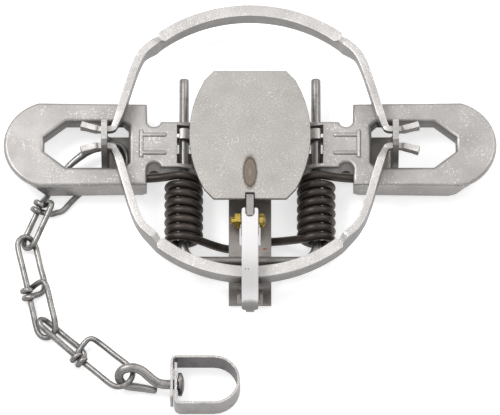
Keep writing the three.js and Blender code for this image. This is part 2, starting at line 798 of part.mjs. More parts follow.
// Pan arm: plate on edge, welded under the pan, with the lip that holds the dog
function panArm() {
  const weldTop = panTop - panSheet - seat;
  const slotEnd = -panHalfLength + panSlotDepth;
  const lipRear = slotEnd - armSlotClearance;
  const lipBottom = panTop - armLipDepth;
  const profile = [
    [armRearY, weldTop],
    [lipRear, weldTop],
    [lipRear, panTop - seat],
    [lipRear - armSlotClearance, panTop],
    [armLipY + armThickness / 4, panTop],
    [armLipY, panTop - armThickness / 4],
    [armLipY, lipBottom + armThickness / 3],
    [armLipY + armThickness / 3, lipBottom],
    ...arcPoints(boltY, boltZ, armBossRadius, turn * 3 / 8, turn * 7 / 8, 9),
    [slotEnd + armBossRadius, boltZ + armBossRadius / 3],
    [armRearY, weldTop - armBossRadius / 2],
  ].reverse();
  const arm = prism(profile, 'x', -armThickness / 2, armThickness / 2);
  return cut(arm, disc(boltY, boltZ, boltRadius + seat, 'x', -armThickness, armThickness, 16));
}

// Pan bolt: slotless pan head on the right, plain shank through both ears
function panBolt() {
  const headStart = earOuter + seat;
  const end = -(headStart + nutThickness + seat + boltTail);
  const profile = [
    [0, end], [boltRadius * 0.8, end], [boltRadius, end + boltRadius * 0.2], [boltRadius, headStart],
    [headRadius, headStart], [headRadius, headStart + headHeight / 2],
    [headRadius * 0.8, headStart + headHeight * 0.85], [0, headStart + headHeight],
  ].map(([u, v]) => new THREE.Vector2(u, v));
  return new THREE.LatheGeometry(profile, 18).rotateZ(-turn / 4).translate(0, boltY, boltZ);
}

function panNut() {
  const far = -(earOuter + seat + nutThickness);
  const near = -(earOuter + seat);
  const across = nutAcross / Math.sqrt(3);
  const hex = prism(arcPoints(boltY, boltZ, across, 0, turn, 6).slice(0, 6), 'x', far, near);
  return cut(hex, disc(boltY, boltZ, boltRadius + seat, 'x', far - seat, near + seat, 16));
}

// Dog: strip that turns on the post's bar, arches over the jaw and forks at the pan
function dog() {
  const curl = arcPoints(dogPivotY, dogPivotZ, dogCurlRadius, turn * 0.9, turn * 0.3, 13);
  const half = dogSheet / 2;
  const over = smoothRun([
    [0, ...curl[curl.length - 1]],
    [0, (dogPivotY + dogShoulderY) / 2 + half / 2, (dogPivotZ + dogCurlRadius + dogShoulderTop - half) / 2],
    [0, dogShoulderY, dogShoulderTop - half],
    [0, (dogShoulderY + dogArchY) / 2 - half, dogArchTop - 2.2 * half],
    [0, dogArchY, dogArchTop - half],
    [0, (dogArchY + dogTipY) / 2, (dogArchTop + dogTipTop) / 2 - half / 4],
    [0, dogTipY, dogTipTop - half],
  ], dogSheet).map((p) => [p.y, p.z]);
  const line = [...curl.slice(0, -1), ...over];
  const wideFrom = dogPivotZ + dogCurlRadius / 1.8;
  const rings = line.map(([y, z], i) => {
    const [y0, z0] = line[Math.max(i - 1, 0)];
    const [y1, z1] = line[Math.min(i + 1, line.length - 1)];
    const along = new THREE.Vector2(y1 - y0, z1 - z0).normalize();
    const share = y < dogPivotY || i >= curl.length - 1 ? ramp(z, wideFrom - half, wideFrom) : 0;
    const reach = (dogNeckWidth + share * (dogWidth - dogNeckWidth)) / 2;
    return [[reach, half], [-reach, half], [-reach, -half], [reach, -half]].map(([u, w]) => (
      new THREE.Vector3(u, y - along.y * w, z + along.x * w)));
  });
  const notchEnd = armLipY - seat;
  const notch = box(-dogNotchWidth / 2, dogNotchWidth / 2, notchEnd, dogTipY + overrun, 0, dogArchTop + overrun);
  return cut(solidOf(loft(rings)), notch);
}

// Route of one chain link: a wire with a loop at each end, both ends wrapped round
// the side that runs straight through. head and foot are the ends of that side.
function linkRoute({
  head, foot, knot, headWidth, footWidth, headRoll, footRoll, headLoop, footBulge = 1,
}) {
  const w = chainWireRadius;
  const along = head.clone().sub(foot).normalize();
  const right = new THREE.Vector3(along.y, -along.x, 0).normalize();
  const up = new THREE.Vector3().crossVectors(right, along).normalize();
  const middle = foot.clone().lerp(head, knot);
  middle.z = knotLevel;
  const toHead = head.clone().sub(middle).normalize();
  const toFoot = middle.clone().sub(foot).normalize();
  const place = (u, v, h) => {
    const point = middle.clone();
    point.addScaledVector(u > 0 ? toHead : toFoot, u).addScaledVector(right, v).addScaledVector(up, h);
    point.z = Math.max(point.z, w + seat);
    return point;
  };
  const headEnd = middle.distanceTo(head);
  const footEnd = -middle.distanceTo(foot);
  const bend = (end, width, roll, bulge, flip) => arcPoints(0, 0, width / 2, 0, turn / 2, 6).map(([x, y]) => {
    const across = width / 2 + (flip ? -x : x);
    const rise = width * Math.sin(roll) * (across / width) ** loopRisePower;
    return place(end + bulge * y, across * Math.cos(roll), rise);
  });
  const wrap = (from, to, start, end) => Array.from({ length: 9 }, (_, i) => {
    const angle = from + (to - from) * i / 8;
    return place(start + (end - start) * i / 8, wrapRadius * Math.cos(angle), wrapRadius * Math.sin(angle));
  });
  const footSide = [footWidth * Math.cos(footRoll), footWidth * Math.sin(footRoll)];
  const headSide = [headWidth * Math.cos(headRoll), headWidth * Math.sin(headRoll)];
  const lower = [
    ...wrap(turn * 0.14, turn * 0.83, -0.5 * w, 1.4 * w),
    place(2 * w, 0.55 * footSide[0], 0.55 * footSide[1] - 0.6 * w),
    place(1.7 * w, 0.92 * footSide[0], footSide[1]),
    place(-2.2 * w, footSide[0], footSide[1]),
    place(footEnd / 2, footSide[0], footSide[1]),
    ...bend(footEnd, footWidth, footRoll, -footBulge, false),
    place(footEnd / 2, 0, 0),
    place(-w, 0, 0),
    place(1.8 * w, 0, 0),
  ];
  const upper = headLoop ?? [
    place(headEnd / 2, 0, 0),
    ...bend(headEnd, headWidth, headRoll, 1, true),
    place(headEnd / 2, headSide[0], headSide[1]),
    place(2 * w, headSide[0], headSide[1]),
  ];
  const tail = [
    place(-0.9 * w, 0.8 * headSide[0], headSide[1]),
    ...wrap(turn * -0.17, turn * -0.86, -1.5 * w, -3.4 * w),
  ];
  return [...lower, ...upper, ...tail];
}

function chainLink(description) {
  const points = smoothThrough(linkRoute(description), chainStep);
  return wire(points, chainWireRadius, chainWireSides);
}

function smoothThrough(places, step) {
  return smoothRun(places.map((p) => [p.x, p.y, p.z]), step);
}

// First link: its far loop is a wide ring threaded through the left post
function connectorLoop() {
  const [holeY, holeZ] = connectorHole();
  const w = chainWireRadius;
  const edge = -stripHalfWidth - w;
  const low = w + seat;
  return [
    [-postX - 28.7, edge - 12, low + w / 4],
    [-postX - 27, edge - 7.4, low + w / 4],
    [-postX - 24.4, edge - 2.6, 1.7 * w],
    [-postX - 20, -9.8, 2.6 * w],
    [-postX - 13.5, -5.2, 3.2 * w],
    [-postX - 6, holeY - 1.7 * w, holeZ - 1.2 * w],
    [-postX, holeY, holeZ],
    [-postX + 5.6, holeY + 1.7 * w, holeZ - 0.3 * w],
    [-postX + 9.6, holeY - 0.4 * w, holeZ - 0.7 * w],
    [-postX + 11.2, -5.2, stripThickness + 2.3 * w],
    [-postX + 9.2, edge + 0.4 * w, stripThickness + 1.2 * w],
    [-postX + 3, edge - 1.9 * w, 2.2 * w],
    [-postX - 5, edge - 4.2 * w, low],
    [-postX - 11.5, edge - 6.8 * w, low],
    [-postX - 17, -25.6, low],
    [-postX - 21.2, -30.4, low],
    [-postX - 24.6, -31, low],
  ].map(([x, y, z]) => new THREE.Vector3(x, y, z));
}

// Swivel eye: hooked rod whose shank turns in the bracket, with a riveted head inside it
function swivelEye() {
  const [shankY, shankZ] = shankPlace();
  const stop = bracketLeftX + 2 * bracketSheet + 2 * seat;
  const r = eyeWireRadius;
  const places = [
    [bracketLeftX - 7.4, shankY - 1.6, 1.1 * r],
    [bracketLeftX - 12.8, shankY - 0.4, 1.1 * r],
    [bracketLeftX - 18, shankY + 0.4, 1.15 * r],
    [bracketLeftX - 22.6, shankY + 0.9, 1.5 * r],
    [bracketLeftX - 25.4, shankY + 2.4, 2.4 * r],
    [bracketLeftX - 26.1, shankY + 4.8, 3.6 * r],
    [bracketLeftX - 23.8, shankY + 6.6, 4.8 * r],
    [bracketLeftX - 19.5, shankY + 7.2, 5.1 * r],
    [bracketLeftX - 15, shankY + 6.2, 4.8 * r],
    [bracketLeftX - 11, shankY + 3.2, 4 * r],
    [bracketLeftX - 7, shankY + 0.6, shankZ + 0.3],
    [bracketLeftX - 3, shankY, shankZ],
    [stop + swivelHeadHeight / 2, shankY, shankZ],
  ];
  const points = smoothRun(places, 1.4 * r);
  const count = points.length;
  const radii = points.map((_, i) => r * (0.72 + 0.32 * ramp(i / count, 0, 0.35)));
  const rod = solidOf(wire(points, r, 8, false, radii));
  return joined(rod, disc(shankY, shankZ, swivelHeadRadius, 'x', stop, stop + swivelHeadHeight, 20));
}

// Bracket: flat strip bent into a D on edge, its two ends lapped on the straight side
function bracketLine() {
  const radius = (bracketRearY - bracketFrontY) / 2;
  const centreY = (bracketRearY + bracketFrontY) / 2;
  const lap = bracketSheet + 2 * seat;
  const innerX = bracketLeftX + lap;
  return [
    [bracketLeftX, bracketRearY - bracketPlateLength],
    ...arcPoints(bracketLeftX + bracketCorner, bracketRearY - bracketCorner, bracketCorner, turn / 2, turn / 4, 3),
    ...arcPoints(bracketRightX - radius, centreY, radius, turn / 4, -turn / 4, 12),
    ...arcPoints(innerX + bracketCorner, bracketFrontY + bracketCorner, bracketCorner, -turn / 4, -turn / 2, 3),
    [innerX, bracketFrontY + bracketPlateLength],
  ];
}

function bracket() {
  const line = bracketLine();
  const rings = line.map(([x, y], i) => {
    const [x0, y0] = line[Math.max(i - 1, 0)];
    const [x1, y1] = line[Math.min(i + 1, line.length - 1)];
    const along = new THREE.Vector2(x1 - x0, y1 - y0).normalize();
    const half = bracketSheet / 2;
    return [[half, 0], [-half, 0], [-half, bracketHeight], [half, bracketHeight]].map(([u, z]) => (
      new THREE.Vector3(x - along.y * u, y + along.x * u, z)));
  });
  const [shankY, shankZ] = shankPlace();
  const right = bracketLeftX + 2 * bracketSheet + 3 * seat;
  return cut(solidOf(loft(rings)), disc(shankY, shankZ, shankRadius + runningGap, 'x', bracketLeftX - overrun, right, 16));
}

function shankPlace() {
  return [(bracketRearY + bracketFrontY) / 2, bracketHeight / 2];
}

const rearward = 1;
const forward = -1;

add('base_frame', baseFrame(), 'frame');
add('cross_frame', crossFrame(), 'frame');
add('rivet_left', rivet(-rivetX), 'frame');
add('rivet_right', rivet(rivetX), 'frame');
add('spring_rod', springRod(), 'chain');
add('spring_left', spring(-1, anchorTipLeftY), 'spring');
add('spring_right', spring(1, anchorTipRightY), 'spring');
const rightLever = geometryOf(lever());
add('lever_right', rightLever, 'bright');
add('lever_left', mirrored(rightLever), 'bright');
add('jaw_rear', jaw(rearward), 'bright');
add('jaw_front', jaw(forward), 'bright');
add('pan_plate', panPlate(), 'bright');
add('pan_arm', panArm(), 'bright');
add('pan_bolt', panBolt(), 'bolt');
add('pan_nut', panNut(), 'bolt');
add('dog', dog(), 'polished');
add('chain_connector', chainLink({
  head: connectorHead, foot: connectorFoot, headWidth: connectorHeadWidth, footWidth: connectorFootWidth,
  knot: 0.7, footRoll: 0.6, headRoll: -0.36, headLoop: connectorLoop(),
}), 'chain');
add('chain_link_1', chainLink({
  head: link1Head, foot: link1Foot, headWidth: link1HeadWidth, footWidth: link1FootWidth,
  knot: 0.46, footRoll: 0.42, headRoll: -0.44,
}), 'chain');
add('chain_link_2', chainLink({
  head: link2Head, foot: link2Foot, headWidth: link2HeadWidth, footWidth: link2FootWidth,
  knot: 0.5, footRoll: 0, headRoll: -0.7, footBulge: 0.75,
}), 'chain');
add('swivel_eye', swivelEye(), 'chain');
add('swivel_bracket', bracket(), 'bright');

export default trap;
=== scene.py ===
# %% [markdown]
# # A set offset jaw trap
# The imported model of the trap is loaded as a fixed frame. Everything added
# below sits on it, in metres, with the underside of the base strip on the
# floor, the jaws' pivots left and right of the middle and the dog in front.

# %% Load the frame
import json
import math

import bmesh
import bpy
from mathutils import Euler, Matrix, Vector


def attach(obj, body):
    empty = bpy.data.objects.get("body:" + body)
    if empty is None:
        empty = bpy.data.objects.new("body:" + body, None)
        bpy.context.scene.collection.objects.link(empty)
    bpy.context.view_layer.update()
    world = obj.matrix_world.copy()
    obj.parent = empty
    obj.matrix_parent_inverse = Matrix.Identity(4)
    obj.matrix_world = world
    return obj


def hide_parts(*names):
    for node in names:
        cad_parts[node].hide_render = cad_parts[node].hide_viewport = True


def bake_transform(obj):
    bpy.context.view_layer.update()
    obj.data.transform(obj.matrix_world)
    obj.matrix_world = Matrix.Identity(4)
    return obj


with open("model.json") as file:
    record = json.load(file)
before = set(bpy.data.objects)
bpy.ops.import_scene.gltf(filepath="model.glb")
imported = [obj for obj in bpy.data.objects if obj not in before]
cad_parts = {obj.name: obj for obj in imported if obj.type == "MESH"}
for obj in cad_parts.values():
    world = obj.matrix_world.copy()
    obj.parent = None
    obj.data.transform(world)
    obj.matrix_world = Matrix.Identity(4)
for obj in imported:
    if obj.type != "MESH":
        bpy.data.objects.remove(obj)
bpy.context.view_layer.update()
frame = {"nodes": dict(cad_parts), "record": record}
nodes = frame["nodes"]
MM = 0.001
print("nodes:", len(nodes))

# %% [markdown]
# ## Camera
# The photograph was taken from the front and well above, with a very long
# lens: near and far parts keep their size, and upright sides stay parallel.
# An orthographic camera would come close, but a far camera with a long lens
# keeps the last trace of perspective.

# %% Camera
ELEVATION = math.radians(65)
DISTANCE = 5.0
TARGET = Vector((0.0, -0.0273, 0.0))
FIELD_WIDTH = 0.2475
SENSOR_MM = 36
camera_data = bpy.data.cameras.new("camera")
camera_data.sensor_width = SENSOR_MM
camera_data.lens = SENSOR_MM * DISTANCE / FIELD_WIDTH
camera = bpy.data.objects.new("camera", camera_data)
bpy.context.scene.collection.objects.link(camera)
camera.location = TARGET + DISTANCE * Vector((0, -math.cos(ELEVATION), math.sin(ELEVATION)))
camera.rotation_euler = Euler((math.pi / 2 - ELEVATION, 0, 0))
bpy.context.scene.camera = camera
print("lens:", round(camera_data.lens), "mm")

# %% [markdown]
# ## Floor
# The trap lies on a white sheet. A backdrop with a curved rear would do, but
# from this height only the floor shows, so one wide grid is enough. It lies a
# hair below the trap, so that no face of the trap shares its plane.

# %% Floor
FLOOR_HALF_WIDTH = 12.0
FLOOR_GAP = 0.0003
floor_shape = bmesh.new()
bmesh.ops.create_grid(floor_shape, x_segments=1, y_segments=1, size=FLOOR_HALF_WIDTH)
floor_mesh = bpy.data.meshes.new("floor")
floor_shape.to_mesh(floor_mesh)
floor_shape.free()
floor = bpy.data.objects.new("floor", floor_mesh)
floor.location = (0, 0, -FLOOR_GAP)
bpy.context.scene.collection.objects.link(floor)
print("floor:", 2 * FLOOR_HALF_WIDTH, "m wide")

# %% [markdown]
# ## Lamps
# The photograph's shadow is soft, so its light came from large sources. A sun
# lamp would draw a hard shadow; two broad round lamps above the trap, a nearer
# one at the left and a wider one at the right, leave a soft one. Both look at
# the middle of the trap.


# %% Lamps
def area_lamp(name, place, size, power):
    lamp = bpy.data.lights.new(name, "AREA")
    lamp.shape = "DISK"
    lamp.size = size
    lamp.energy = power
    holder = bpy.data.objects.new(name, lamp)
    holder.location = place
    holder.rotation_euler = (-Vector(place)).to_track_quat("-Z", "Y").to_euler()
    bpy.context.scene.collection.objects.link(holder)


area_lamp("key_lamp", place=(-0.55, 0.25, 0.9), size=0.5, power=4.5)
area_lamp("fill_lamp", place=(0.8, 0.5, 0.9), size=0.7, power=3)
print("lamps:", len(bpy.data.lights))

# %% [markdown]
# ## White of the floor
# Turning the lamps up until the sheet is white would burn out the steel. The
# sheet gets a glow in its place, and only where the camera, a mirroring
# surface or glass looks at it: Light Path tells those rays apart. The glow is
# added to the light that the sheet gives back, so its shadow stays.


# %% White of the floor
PAPER, PAPER_GLOW = 0.85, 0.6


def shader_node(tree, kind, **settings):
    made = tree.nodes.new(kind)
    for key, value in settings.items():
        setattr(made, key, value)
    return made


def link(tree, source, output, target, socket):
    tree.links.new(source.outputs[output], target.inputs[socket])


def backdrop_material():
    material = bpy.data.materials.new("backdrop_white")
    material.use_nodes = True
    tree = material.node_tree
    tree.nodes.clear()
    paths = shader_node(tree, "ShaderNodeLightPath")
    paper = shader_node(tree, "ShaderNodeBsdfDiffuse")
    paper.inputs["Color"].default_value = (PAPER, PAPER, PAPER, 1)
    glow = shader_node(tree, "ShaderNodeEmission")
    glow.inputs["Strength"].default_value = PAPER_GLOW
    both = shader_node(tree, "ShaderNodeAddShader")
    seen = shader_node(tree, "ShaderNodeMath", operation="MAXIMUM")
    seen_or_mirrored = shader_node(tree, "ShaderNodeMath", operation="MAXIMUM")
    pick = shader_node(tree, "ShaderNodeMixShader")
    out = shader_node(tree, "ShaderNodeOutputMaterial")
    link(tree, paths, "Is Camera Ray", seen, 0)
    link(tree, paths, "Is Transmission Ray", seen, 1)
    link(tree, seen, 0, seen_or_mirrored, 0)
    link(tree, paths, "Is Glossy Ray", seen_or_mirrored, 1)
    link(tree, paper, 0, both, 0)
    link(tree, glow, 0, both, 1)
    link(tree, seen_or_mirrored, 0, pick, 0)
    link(tree, paper, 0, pick, 1)
    link(tree, both, 0, pick, 2)
    link(tree, pick, 0, out, 0)
    return material


floor_mesh.materials.append(backdrop_material())
print("floor finish:", floor_mesh.materials[0].name)

# %% [markdown]
# ## Light of the room
# Steel shows what it reflects, so the world is a room: a broad pale ceiling,
# dimmer walls below it and a pale strip at floor level. Flat tops show the
# ceiling, walls that face down show the white sheet, and rounded edges pick up
# the dim walls, which draws them as thin dark lines. A picture of a studio
# would do the same, but a ramp over the height holds it in a few numbers: each
# pair is the sine of the height above the horizon and the level of light.

# %% Light of the room
ROOM_LIGHT = ((0.0, 0.8), (0.06, 0.8), (0.12, 0.22), (0.42, 0.26), (0.62, 0.72), (1.0, 0.72))
world = bpy.data.worlds.new("studio")
world.use_nodes = True
world_tree = world.node_tree
direction = shader_node(world_tree, "ShaderNodeTexCoord")
height = shader_node(world_tree, "ShaderNodeSeparateXYZ")
room = shader_node(world_tree, "ShaderNodeValToRGB")
while len(room.color_ramp.elements) < len(ROOM_LIGHT):
    room.color_ramp.elements.new(0.5)
for point, (sine, level) in zip(room.color_ramp.elements, ROOM_LIGHT):
    point.position = sine
    point.color = (level, level, level, 1)
link(world_tree, direction, "Generated", height, 0)
link(world_tree, height, "Z", room, 0)
link(world_tree, room, "Color", world_tree.nodes["Background"], "Color")
bpy.context.scene.world = world
bpy.context.scene.view_settings.view_transform = "Standard"
print("levels of light in the room:", len(ROOM_LIGHT))

# %% [markdown]
# ## Noise in a material
# Real steel is never one flat grey. Noise can vary it without any picture, and
# stays sharp from near. Three small helpers are needed for that: a noise whose
# patches have a size in millimetres, a range that turns it into the values
# wanted, and a sum or product of two results. Object coordinates tie the
# pattern to the piece, so it moves with it.


# %% Noise in a material
def noise(tree, place, size_mm, detail):
    made = shader_node(tree, "ShaderNodeTexNoise")
    made.inputs["Scale"].default_value = 1 / (size_mm * MM)
    made.inputs["Detail"].default_value = detail
    link(tree, place, "Object", made, "Vector")
    return made


def ranged(tree, source, output, span, result):
    made = shader_node(tree, "ShaderNodeMapRange")
    for socket, value in zip(("From Min", "From Max", "To Min", "To Max"), (*span, *result)):
        made.inputs[socket].default_value = value
    link(tree, source, output, made, "Value")
    return made


def combined(tree, operation, a, b):
    made = shader_node(tree, "ShaderNodeMath", operation=operation)
    link(tree, a, 0, made, 0)
    link(tree, b, 0, made, 1)
    return made


BROAD_MM, FINE_MM, PLAIN_DETAIL = 14, 0.5, 3
print("patches of tone:", BROAD_MM, "mm and", FINE_MM, "mm")

# %% [markdown]
# ## Tone of the steel
# All the sheet and strap of the trap is tumbled steel. Its tone drifts gently,
# a fine grain covers it, dirt darkens patches, and small bright nicks are
# strewn over it: they are the brightest cells of a Voronoi pattern, kept to
# some areas by a noise. Faces that don't look up get painted shade, going by
# the piece's own normal, as the light from above misses them.

# %% Tone of the steel
NOISE_SPAN = (0.3, 0.7)
DIRT_MM, DIRT_DETAIL, DIRT_SPAN = 5, 5, (0.52, 0.72)
NICK_MM, NICK_CELL_SPAN = 0.5, (0.86, 0.95)
NICK_AREA_MM, NICK_AREA_SPAN = 9, (0.4, 0.62)
SIDE_SHADE_SPAN = (0.15, 0.85)


def nicked(tree, place, tone, nicks):
    cells = shader_node(tree, "ShaderNodeTexVoronoi")
    cells.inputs["Scale"].default_value = 1 / (NICK_MM * MM)
    link(tree, place, "Object", cells, "Vector")
    split = shader_node(tree, "ShaderNodeSeparateColor")
    link(tree, cells, "Color", split, 0)
    broad = noise(tree, place, NICK_AREA_MM, PLAIN_DETAIL)
    area = ranged(tree, broad, "Fac", NICK_AREA_SPAN, (0, nicks))
    bright = ranged(tree, split, 0, NICK_CELL_SPAN, (0, 1))
    return combined(tree, "ADD", tone, combined(tree, "MULTIPLY", area, bright))


def steel_tone(tree, place, fine, drift, grain, nicks, dirt, sides):
    broad = noise(tree, place, BROAD_MM, PLAIN_DETAIL)
    drifting = ranged(tree, broad, "Fac", NOISE_SPAN, (1 - drift, 1 + drift))
    grained = ranged(tree, fine, "Fac", NOISE_SPAN, (1 - grain, 1 + grain))
    tone = combined(tree, "MULTIPLY", drifting, grained)
    if dirt:
        patches = noise(tree, place, DIRT_MM, DIRT_DETAIL)
        tone = combined(
            tree, "MULTIPLY", tone, ranged(tree, patches, "Fac", DIRT_SPAN, (1, 1 - dirt)))
    if nicks:
        tone = nicked(tree, place, tone, nicks)
    # sides is the level of painted shade on faces that don't look up.
    if sides < 1:
        facing = shader_node(tree, "ShaderNodeSeparateXYZ")
        link(tree, place, "Normal", facing, 0)
        tone = combined(
            tree, "MULTIPLY", tone, ranged(tree, facing, "Z", SIDE_SHADE_SPAN, (sides, 1)))
    return tone


print("patches of dirt:", DIRT_MM, "mm, nicks:", NICK_MM, "mm")

# %% [markdown]
# ## A metal finish
# One metal shader takes a grey and the tone from above. The fine grain also
# varies the gloss and stands a little proud as a bump, as on real tumbled
# steel. Every finish of the trap is this recipe with other numbers, so it is
# written once as a function.

# %% A metal finish
GLOSS_BELOW, GLOSS_ABOVE = 0.07, 0.09
BUMP_STRENGTH, BUMP_MM = 0.2, 0.1


# sides sets the painted shade on faces that don't look up; 1 leaves none.
def metal(name, colour, rough, drift=0.12, grain=0.12, nicks=0.0, dirt=0.0, sides=1.0, metallic=0.8):
    material = bpy.data.materials.new(name)
    material.use_nodes = True
    tree = material.node_tree
    shader = tree.nodes["Principled BSDF"]
    shader.inputs["Metallic"].default_value = metallic
    place = shader_node(tree, "ShaderNodeTexCoord")
    fine = noise(tree, place, FINE_MM, PLAIN_DETAIL)
    tone = steel_tone(tree, place, fine, drift, grain, nicks, dirt, sides)
    grey = shader_node(tree, "ShaderNodeCombineColor")
    for channel in range(3):
        link(tree, tone, 0, grey, channel)
    tint = shader_node(tree, "ShaderNodeMix", data_type="RGBA", blend_type="MULTIPLY")
    tint.inputs["Factor"].default_value = 1
    tint.inputs["A"].default_value = (*colour, 1)
    link(tree, grey, 0, tint, "B")
    link(tree, tint, "Result", shader, "Base Color")
    gloss = ranged(tree, fine, "Fac", NOISE_SPAN, (rough - GLOSS_BELOW, rough + GLOSS_ABOVE))
    link(tree, gloss, 0, shader, "Roughness")
    bump = shader_node(tree, "ShaderNodeBump")
    bump.inputs["Strength"].default_value = BUMP_STRENGTH
    bump.inputs["Distance"].default_value = BUMP_MM * MM
    link(tree, fine, "Fac", bump, "Height")
    link(tree, bump, "Normal", shader, "Normal")
    return material


print("bump:", BUMP_MM, "mm")

# %% [markdown]
# ## Steel finishes
# Each piece of the trap has its own grey. The levers, the jaws and the posts
# are bright; the posts' lighter grey is painted light, and the levers' folded
# rims take a copy with more painted shade. The frame, the chain and the rod
# are darker and dirtier; the springs are nearly black and the bolt is plated
# yellow. The dog's near white without metal is a painted highlight of its
# polished steel, and the bracket's inside takes a darker copy of its grey as
# painted shade. One grey for all would be quicker, but the pieces would run
# into each other.

# %% Steel finishes
# Each sides number is the painted shade on that finish's faces that don't look up.
LEVER_GREY = (0.53, 0.508, 0.492)
tumbled_steel = metal("tumbled_steel", LEVER_GREY, 0.46, nicks=0.7, sides=0.58)
# The rim's copy has fewer nicks and more painted shade on its sides.
rim_steel_painted_shade = metal("rim_steel_painted_shade", LEVER_GREY, 0.46, nicks=0.4, sides=0.36)
# The posts' lighter grey is painted light, above the dark strip.
post_painted_light = metal("post_painted_light", (0.56, 0.54, 0.52), 0.45, grain=0.2, nicks=0.4, sides=0.4)
jaw_steel = metal("jaw_steel", (0.72, 0.695, 0.675), 0.44, grain=0.2, nicks=0.4, sides=0.36)
pan_steel = metal(
    "pan_steel", (0.515, 0.49, 0.463), 0.46, drift=0.07, grain=0.28, nicks=0.4, sides=0.6)
arm_steel = metal("arm_steel", (0.42, 0.40, 0.385), 0.44, grain=0.25, dirt=0.25, sides=0.35)
# The dog's near white is a painted highlight: its polished steel shines white from above.
dog_painted_highlight = metal(
    "dog_painted_highlight", (0.93, 0.9, 0.905), 0.42, drift=0.02, grain=0.03, sides=0.94, metallic=0.0)
frame_steel = metal("frame_steel", (0.36, 0.335, 0.315), 0.5, dirt=0.25, sides=0.6)
spring_black = metal(
    "spring_black", (0.070, 0.057, 0.050), 0.4, drift=0.3, grain=0.25, metallic=0.6)
chain_steel = metal(
    "chain_steel", (0.38, 0.367, 0.355), 0.36, grain=0.3, nicks=0.5, dirt=0.5, sides=0.22)
eye_steel = metal(
    "eye_steel", (0.40, 0.385, 0.375), 0.4, grain=0.3, nicks=0.5, dirt=0.3, sides=0.42)
rod_steel = metal("rod_steel", (0.34, 0.325, 0.31), 0.36, dirt=0.3, sides=0.7)
bracket_steel = metal(
    "bracket_steel", (0.62, 0.595, 0.58), 0.45, grain=0.25, nicks=0.4, dirt=0.2, sides=0.5)
# The bracket's inside grey is painted shade.
bracket_inside_shade = metal("bracket_inside_shade", (0.5, 0.47, 0.475), 0.45, grain=0.2, dirt=0.3, sides=0.34)
yellow_plate = metal("yellow_plate", (0.86, 0.63, 0.14), 0.26, drift=0.15, sides=0.6)
print("finishes:", len(bpy.data.materials))

# %% [markdown]
# ## Marks on the steel
# Four small marks are put on the steel: a brown heat tint on the pan above the
# weld of its arm, a rust smear on the cross frame, two punch dots on the dog,
# and a painted shade on the dog's curl, which faces down, away from the light.
# They could be painted on a UV map, but that ties them to one mesh. Each is an
# oval in the material, measured in millimetres from its centre on Object
# coordinates, and noise frays its rim.

# %% Marks on the steel
FRAY_MM, FRAY_DETAIL = 1.5, 4


def reach_of(tree, place, centre, half_sizes):
    centred = shader_node(tree, "ShaderNodeVectorMath", operation="SUBTRACT")
    centred.inputs[1].default_value = [c * MM for c in centre]
    sized = shader_node(tree, "ShaderNodeVectorMath", operation="DIVIDE")
    sized.inputs[1].default_value = [h * MM for h in half_sizes]
    reach = shader_node(tree, "ShaderNodeVectorMath", operation="LENGTH")
    link(tree, place, "Object", centred, 0)
    link(tree, centred, "Vector", sized, 0)
    link(tree, sized, "Vector", reach, 0)
    return reach


def mark(material, centre, half_sizes, stops, fray):
    tree = material.node_tree
    shader = tree.nodes["Principled BSDF"]
    under = shader.inputs["Base Color"].links[0].from_socket
    place = shader_node(tree, "ShaderNodeTexCoord")
    reach = reach_of(tree, place, centre, half_sizes)
    wobble = ranged(tree, noise(tree, place, FRAY_MM, FRAY_DETAIL), "Fac", (0, 1), (-fray, fray))
    total = shader_node(tree, "ShaderNodeMath", operation="ADD")
    ramp = shader_node(tree, "ShaderNodeValToRGB")
    points = ramp.color_ramp.elements
    while len(points) < len(stops):
        points.new(0.5)
    for point, (at, colour, strength) in zip(points, stops):
        point.position = at
        point.color = (*colour, strength)
    over = shader_node(tree, "ShaderNodeMix", data_type="RGBA")
    link(tree, reach, "Value", total, 0)
    link(tree, wobble, 0, total, 1)
    link(tree, total, 0, ramp, "Fac")
    link(tree, ramp, "Alpha", over, "Factor")
    tree.links.new(under, over.inputs["A"])
    link(tree, ramp, "Color", over, "B")
    link(tree, over, "Result", shader, "Base Color")


tint_brown, tint_dark = (0.20, 0.16, 0.125), (0.085, 0.062, 0.045)
mark(pan_steel, centre=(0, -20.5, 27), half_sizes=(4.2, 10.5, 9), fray=0.1, stops=[
    (0.0, (0.30, 0.25, 0.21), 0.9), (0.3, tint_brown, 0.9), (0.62, tint_brown, 0.85),
    (0.74, tint_dark, 0.95), (0.86, tint_brown, 0.5), (1.0, tint_brown, 0)])
mark(frame_steel, centre=(7.4, -53.4, 7.6), half_sizes=(1.7, 0.8, 9), fray=0.5, stops=[
    (0.4, (0.42, 0.10, 0.03), 0.9), (0.9, (0.3, 0.1, 0.05), 0)])
for dot_x in (-2.3, -0.8):
    mark(dog_painted_highlight, centre=(dot_x, -73.2, 25), half_sizes=(0.42, 0.42, 9), fray=0.2, stops=[
        (0.5, (0.10, 0.08, 0.08), 0.9), (0.95, (0.3, 0.3, 0.3), 0)])
# Painted shade: the curl faces down and away from the light.
curl_painted_shade = (0.26, 0.25, 0.245)
mark(dog_painted_highlight, centre=(0, -87.5, 12), half_sizes=(14, 6, 8), fray=0.06, stops=[
    (0.58, curl_painted_shade, 0.9), (0.78, curl_painted_shade, 0)])
print("nodes in the dog's finish:", len(dog_painted_highlight.node_tree.nodes))

# %% [markdown]
# ## Copies of the nodes
# A node of the frame is loose triangles and stays as it is. A piece that
# needs finer work is made on a copy: its doubles are welded, its flat
# triangles are joined into whole faces, and its smooth and sharp edges are
# told apart by an angle. The copy then stands in for the node, and moves with
# the same body.

# %% Copies of the nodes
WELD_MM, FLAT_ANGLE = 0.002, 0.5
body_of_node = {
    name: body for body, names in frame["record"]["behaviour"]["bodies"].items() for name in names}


